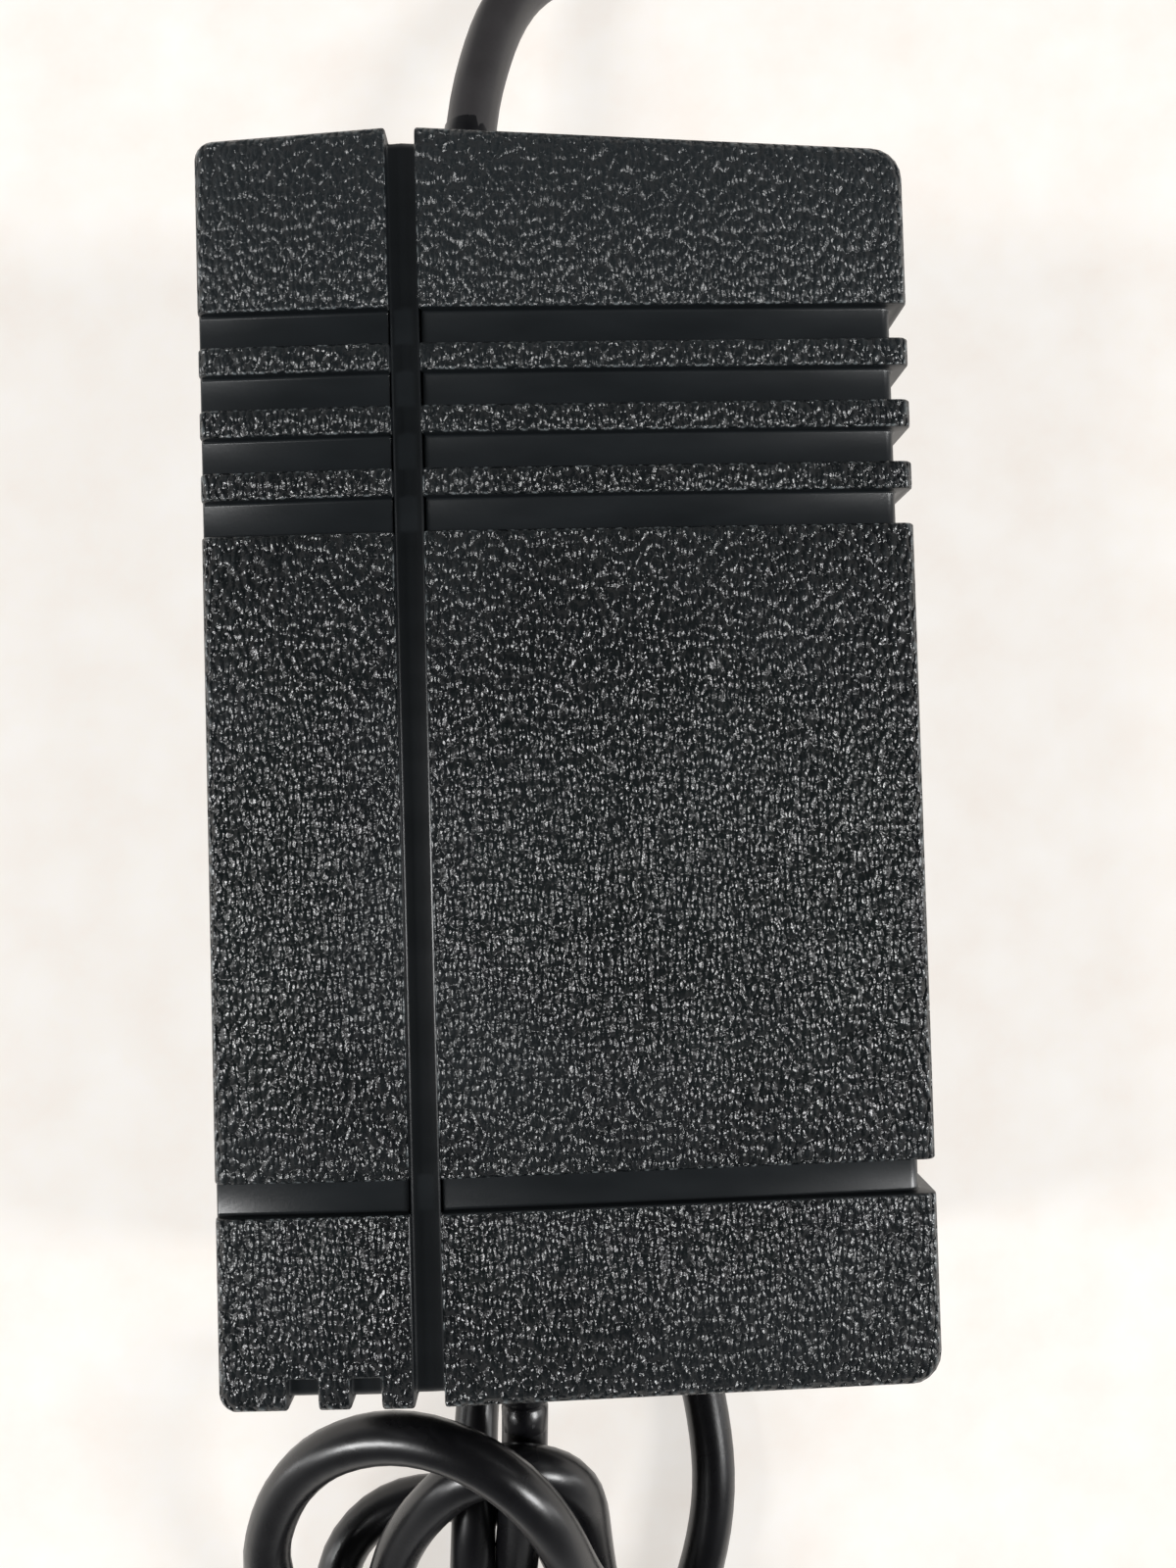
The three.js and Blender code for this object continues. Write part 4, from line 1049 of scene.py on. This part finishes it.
def finishJack():
    grip, start, end = jackPlug["grip"], jackPlug["gripFrom"], jackPlug["gripTo"]
    low = grip - jackPlug["ribDepth"]
    rings = ribbedTaper(*jackPlug["relief"], 0, start)
    rings = [(radius, start - at) for radius, at in reversed(rings)]
    inset, first, last = jackPlug["shoulder"]
    rings += [(jackPlug["collar"], start), (grip - inset, start + first), (grip, start + last)]
    down, along, up = jackPlug["groove"]
    for i in range(jackPlug["ribs"]):
        at = start + jackPlug["ribsFrom"] + jackPlug["ribPitch"] * i
        rings += [(grip, at), (low, at + down), (low, at + along), (grip, at + up)]
    rings += [(grip, end - jackPlug["end"]), (grip - jackPlug["end"], end)]
    body = turnedPiece("mouldedJack", rings)
    layAlong(body, (0, -1, 0), jackPlug["place"])
    roundEdges(body, relief["edge"], 2, clamp=True)
    dress(body, "cord", "cord", "output_plug_body")
    pieces = [body]
    for node, slot in (("barrel", "nickel"), ("insulator", "epoxy")):
        inner = copyNode("output_plug_" + node, "jack" + node.capitalize())
        roundEdges(inner, jackPlug["metalEdge"], 2, clamp=True)
        dress(inner, slot, slot, "output_plug_" + node)
        pieces.append(inner)
    return pieces


wallPlugPieces = finishWallPlug()
jackPieces = finishJack()
print("plugs finished")

strap = {
    "width": 8,
    "thickness": 1.1,
    "points": 64,
    "slack": 0.1,  # room between the strap and the cords
    "above": 0.05,  # over the floor
    "steps": 4,  # across the width
    "edge": 0.3,
    "buckle": (9.5, 5, 2.4),
    "buckleRise": 0.5,
    "buckleEdge": 0.4,
    "buckleHollow": (0.9, 0.3, 0.6),  # rim, slope and depth
    "reach": 30,  # cords further to the side than this aren't held
}


def crossings(line, axis, at, near):
    # where the cord passes a plane, as pairs across and up
    across = 1 - axis
    found = []
    for a, b in zip(line[:-1], line[1:]):
        if (a[axis] - at) * (b[axis] - at) <= 0 and abs(a[across] - near) < strap["reach"]:
            t = (at - a[axis]) / (b[axis] - a[axis])
            place = a + (b - a) * t
            found.append((place[across], place[2]))
    return found


def strapRound(name, node, line, diameter, axis, at, near):
    places = np.array(crossings(line, axis, at, near))
    middle = (places.max(0) + places.min(0)) / 2
    count = strap["points"]
    bpy.ops.object.select_all(action="DESELECT")
    bpy.ops.mesh.primitive_circle_add(vertices=count, radius=10 * mm, fill_type="NOTHING")
    band = bpy.context.object
    band.name = name
    out = diameter / 2 + strap["slack"]
    angles = np.arange(count) * 2 * math.pi / count
    # pulled tight: the outermost cord in each direction sets how far out the strap lies
    ways = np.stack([np.cos(angles), np.sin(angles)], 1)
    reach = ((places - middle) @ ways.T).max(0) + out
    before, after = np.roll(reach, 1), np.roll(reach, -1)
    turn = (after - before) / (2 * (angles[1] - angles[0]))
    spots = middle + reach[:, None] * ways + turn[:, None] * np.stack([-ways[:, 1], ways[:, 0]], 1)
    for vertex, (across, up) in zip(band.data.vertices, spots):
        low = max(up, strap["thickness"] + strap["above"]) * mm
        vertex.co = (across * mm, (at - strap["width"] / 2) * mm, low)
        if axis == 0:
            vertex.co = ((at - strap["width"] / 2) * mm, across * mm, low)
    editAll(band)
    step = [0, 0, 0]
    step[axis] = strap["width"] / strap["steps"] * mm
    for _ in range(strap["steps"]):
        bpy.ops.mesh.extrude_region_move(TRANSFORM_OT_translate={"value": step})
    bpy.ops.mesh.select_all(action="SELECT")
    bpy.ops.mesh.normals_make_consistent(inside=False)
    bpy.ops.object.mode_set(mode="OBJECT")
    wall = band.modifiers.new("wall", "SOLIDIFY")
    wall.thickness = strap["thickness"] * mm
    wall.offset = 1
    bpy.ops.object.modifier_apply(modifier=wall.name)
    roundEdges(band, strap["edge"], 2, angle=50, clamp=True)
    top = float(spots[:, 1].max())
    topAcross = float(spots[spots[:, 1].argmax(), 0])
    bpy.ops.object.select_all(action="DESELECT")
    size = [v * mm for v in strap["buckle"]]
    place = [topAcross * mm, at * mm, (top + strap["thickness"] + strap["buckleRise"]) * mm]
    if axis == 0:
        place = [at * mm, topAcross * mm, place[2]]
    else:
        size = [size[1], size[0], size[2]]
    bpy.ops.mesh.primitive_cube_add(size=1, location=place, scale=size)
    buckle = bpy.context.object
    settlePlace(buckle)
    pickFaces(buckle, lambda face: face.normal.z > 0.9)
    rim, slope, depth = strap["buckleHollow"]
    bpy.ops.mesh.inset(thickness=rim * mm, depth=0)
    bpy.ops.mesh.inset(thickness=slope * mm, depth=-depth * mm)
    bpy.ops.object.mode_set(mode="OBJECT")
    roundEdges(buckle, strap["buckleEdge"], 3, clamp=True)
    selectOnly(band)
    buckle.select_set(True)
    bpy.ops.object.join()
    dress(band, "tie", "tie", node)
    return band


hankStrap = strapRound(
    "hankStrap",
    "output_cord_tie",
    outputLine,
    outputCord["diameter"],
    1,
    outputCord["tieAt"],
    outputCord["bundle"][0],
)
coilStrap = strapRound(
    "coilStrap",
    "mains_cord_tie",
    mainsLine[mainsLine[:, 0] < mainsCord["tieFrom"]],
    mainsCord["diameter"],
    1,
    mainsCord["coil"][1],
    mainsCord["tieMiddle"],
)
print("straps finished")

outputNodes = ("output_cord_lead", "output_cord_hank", "output_cord_tail")
mainsNodes = ("mains_cord_lead", "mains_cord_coil", "mains_cord_tail")
dress(outputFlex, "cord", "cord", *outputNodes)
dress(mainsFlex, "paleGreyCord", "cord", *mainsNodes)

floorSpec = {
    "size": 9000,
    "dark": "#F3E9DF",
    "light": "#FFFEFB",
    "farTone": "#EEEDEB",
    "mottle": 13,
    "glow": 1.15,
    "glowShare": (0.65, 0.97),  # keeps the table pale and its shadows soft: near, far
    "glowSpan": (0.22, 0.9),  # metres from the middle
    "shader": {"Roughness": 0.6, "Specular IOR Level": 0.2},
}
roomSpec = {
    "low": 0.5,  # pale walls near the horizon, which show in rounded edges
    "walls": 0.13,
    "ceiling": 0.03,
    "backdrop": 0.95,
    "lowSpan": (0.1, 0.35),  # height of a direction, 0 level and 1 straight up
    "ceilingSpan": (0.6, 0.85),
}
lamps = {
    "left window": {"place": (-1020, -150, 900), "size": (250, 450), "power": 10.5},
    "right window": {"place": (1020, -150, 900), "size": (250, 450), "power": 10.5},
    "left strip": {"place": (-1020, -180, 330), "size": (180, 1680), "power": 4},
    "right strip": {"place": (1020, -180, 330), "size": (180, 1680), "power": 4},
}


def addFloor():
    bpy.ops.object.select_all(action="DESELECT")
    bpy.ops.mesh.primitive_plane_add(size=floorSpec["size"] * mm)
    floor = bpy.context.object
    floor.name = "floor"
    made, tree, place = startMaterial("pale laminate")
    mottle = noise(tree, floorSpec["mottle"], 4, place, roughness=0.6)
    tone = blend(tree, mottle, floorSpec["dark"], floorSpec["light"])
    far = addNode(tree, "VectorMath", {"operation": "LENGTH"}, {0: place}).outputs["Value"]
    far = ramp(tree, far, floorSpec["glowSpan"], (0, 1), "SMOOTHSTEP")
    tone = blend(tree, far, tone, floorSpec["farTone"])
    ray = addNode(tree, "LightPath").outputs
    seen = maths(tree, "MAXIMUM", ray["Is Camera Ray"], ray["Is Glossy Ray"])
    seen = maths(tree, "MAXIMUM", seen, ray["Is Transmission Ray"])
    near, away = floorSpec["glowShare"]
    share = maths(tree, "MULTIPLY", seen, maths(tree, "MULTIPLY_ADD", far, away - near, near))
    closeMaterial(
        tree,
        floorSpec["shader"],
        {
            "Base Color": blend(tree, share, tone, "#000000"),
            "Emission Color": tone,
            "Emission Strength": maths(tree, "MULTIPLY", share, floorSpec["glow"]),
        },
    )
    floor.data.materials.append(made)


def addLamps():
    for name, spec in lamps.items():
        place = Vector(spec["place"]) * mm
        bpy.ops.object.light_add(
            type="AREA", location=place, rotation=place.to_track_quat("Z", "Y").to_euler()
        )
        lamp = bpy.context.object
        lamp.name = name
        lamp.data.shape = "RECTANGLE"
        lamp.data.size, lamp.data.size_y = [v * mm for v in spec["size"]]
        lamp.data.energy = spec["power"]


def addRoom():
    room = bpy.data.worlds.new("room")
    room.use_nodes = True
    tree = room.node_tree
    way = addNode(tree, "TexCoord").outputs["Generated"]
    up = addNode(tree, "SeparateXYZ", {}, {0: way}).outputs["Z"]
    walls = roomSpec["walls"]
    high = ramp(tree, up, roomSpec["ceilingSpan"], (walls, roomSpec["ceiling"]), "SMOOTHSTEP")
    low = ramp(tree, up, roomSpec["lowSpan"], (roomSpec["low"] - walls, 0), "SMOOTHSTEP")
    around = maths(tree, "ADD", high, low)
    seen = addNode(tree, "LightPath").outputs["Is Camera Ray"]
    settings = {"data_type": "FLOAT", 3: roomSpec["backdrop"]}
    strength = addNode(tree, "Mix", settings, {0: seen, 2: around}).outputs[0]
    sky = tree.nodes["Background"].inputs
    sky["Color"].default_value = (1, 1, 1, 1)
    tree.links.new(strength, sky["Strength"])
    bpy.context.scene.world = room


addFloor()
addLamps()
addRoom()
bpy.context.scene.view_settings.view_transform = "Standard"
print("floor and lamps placed")
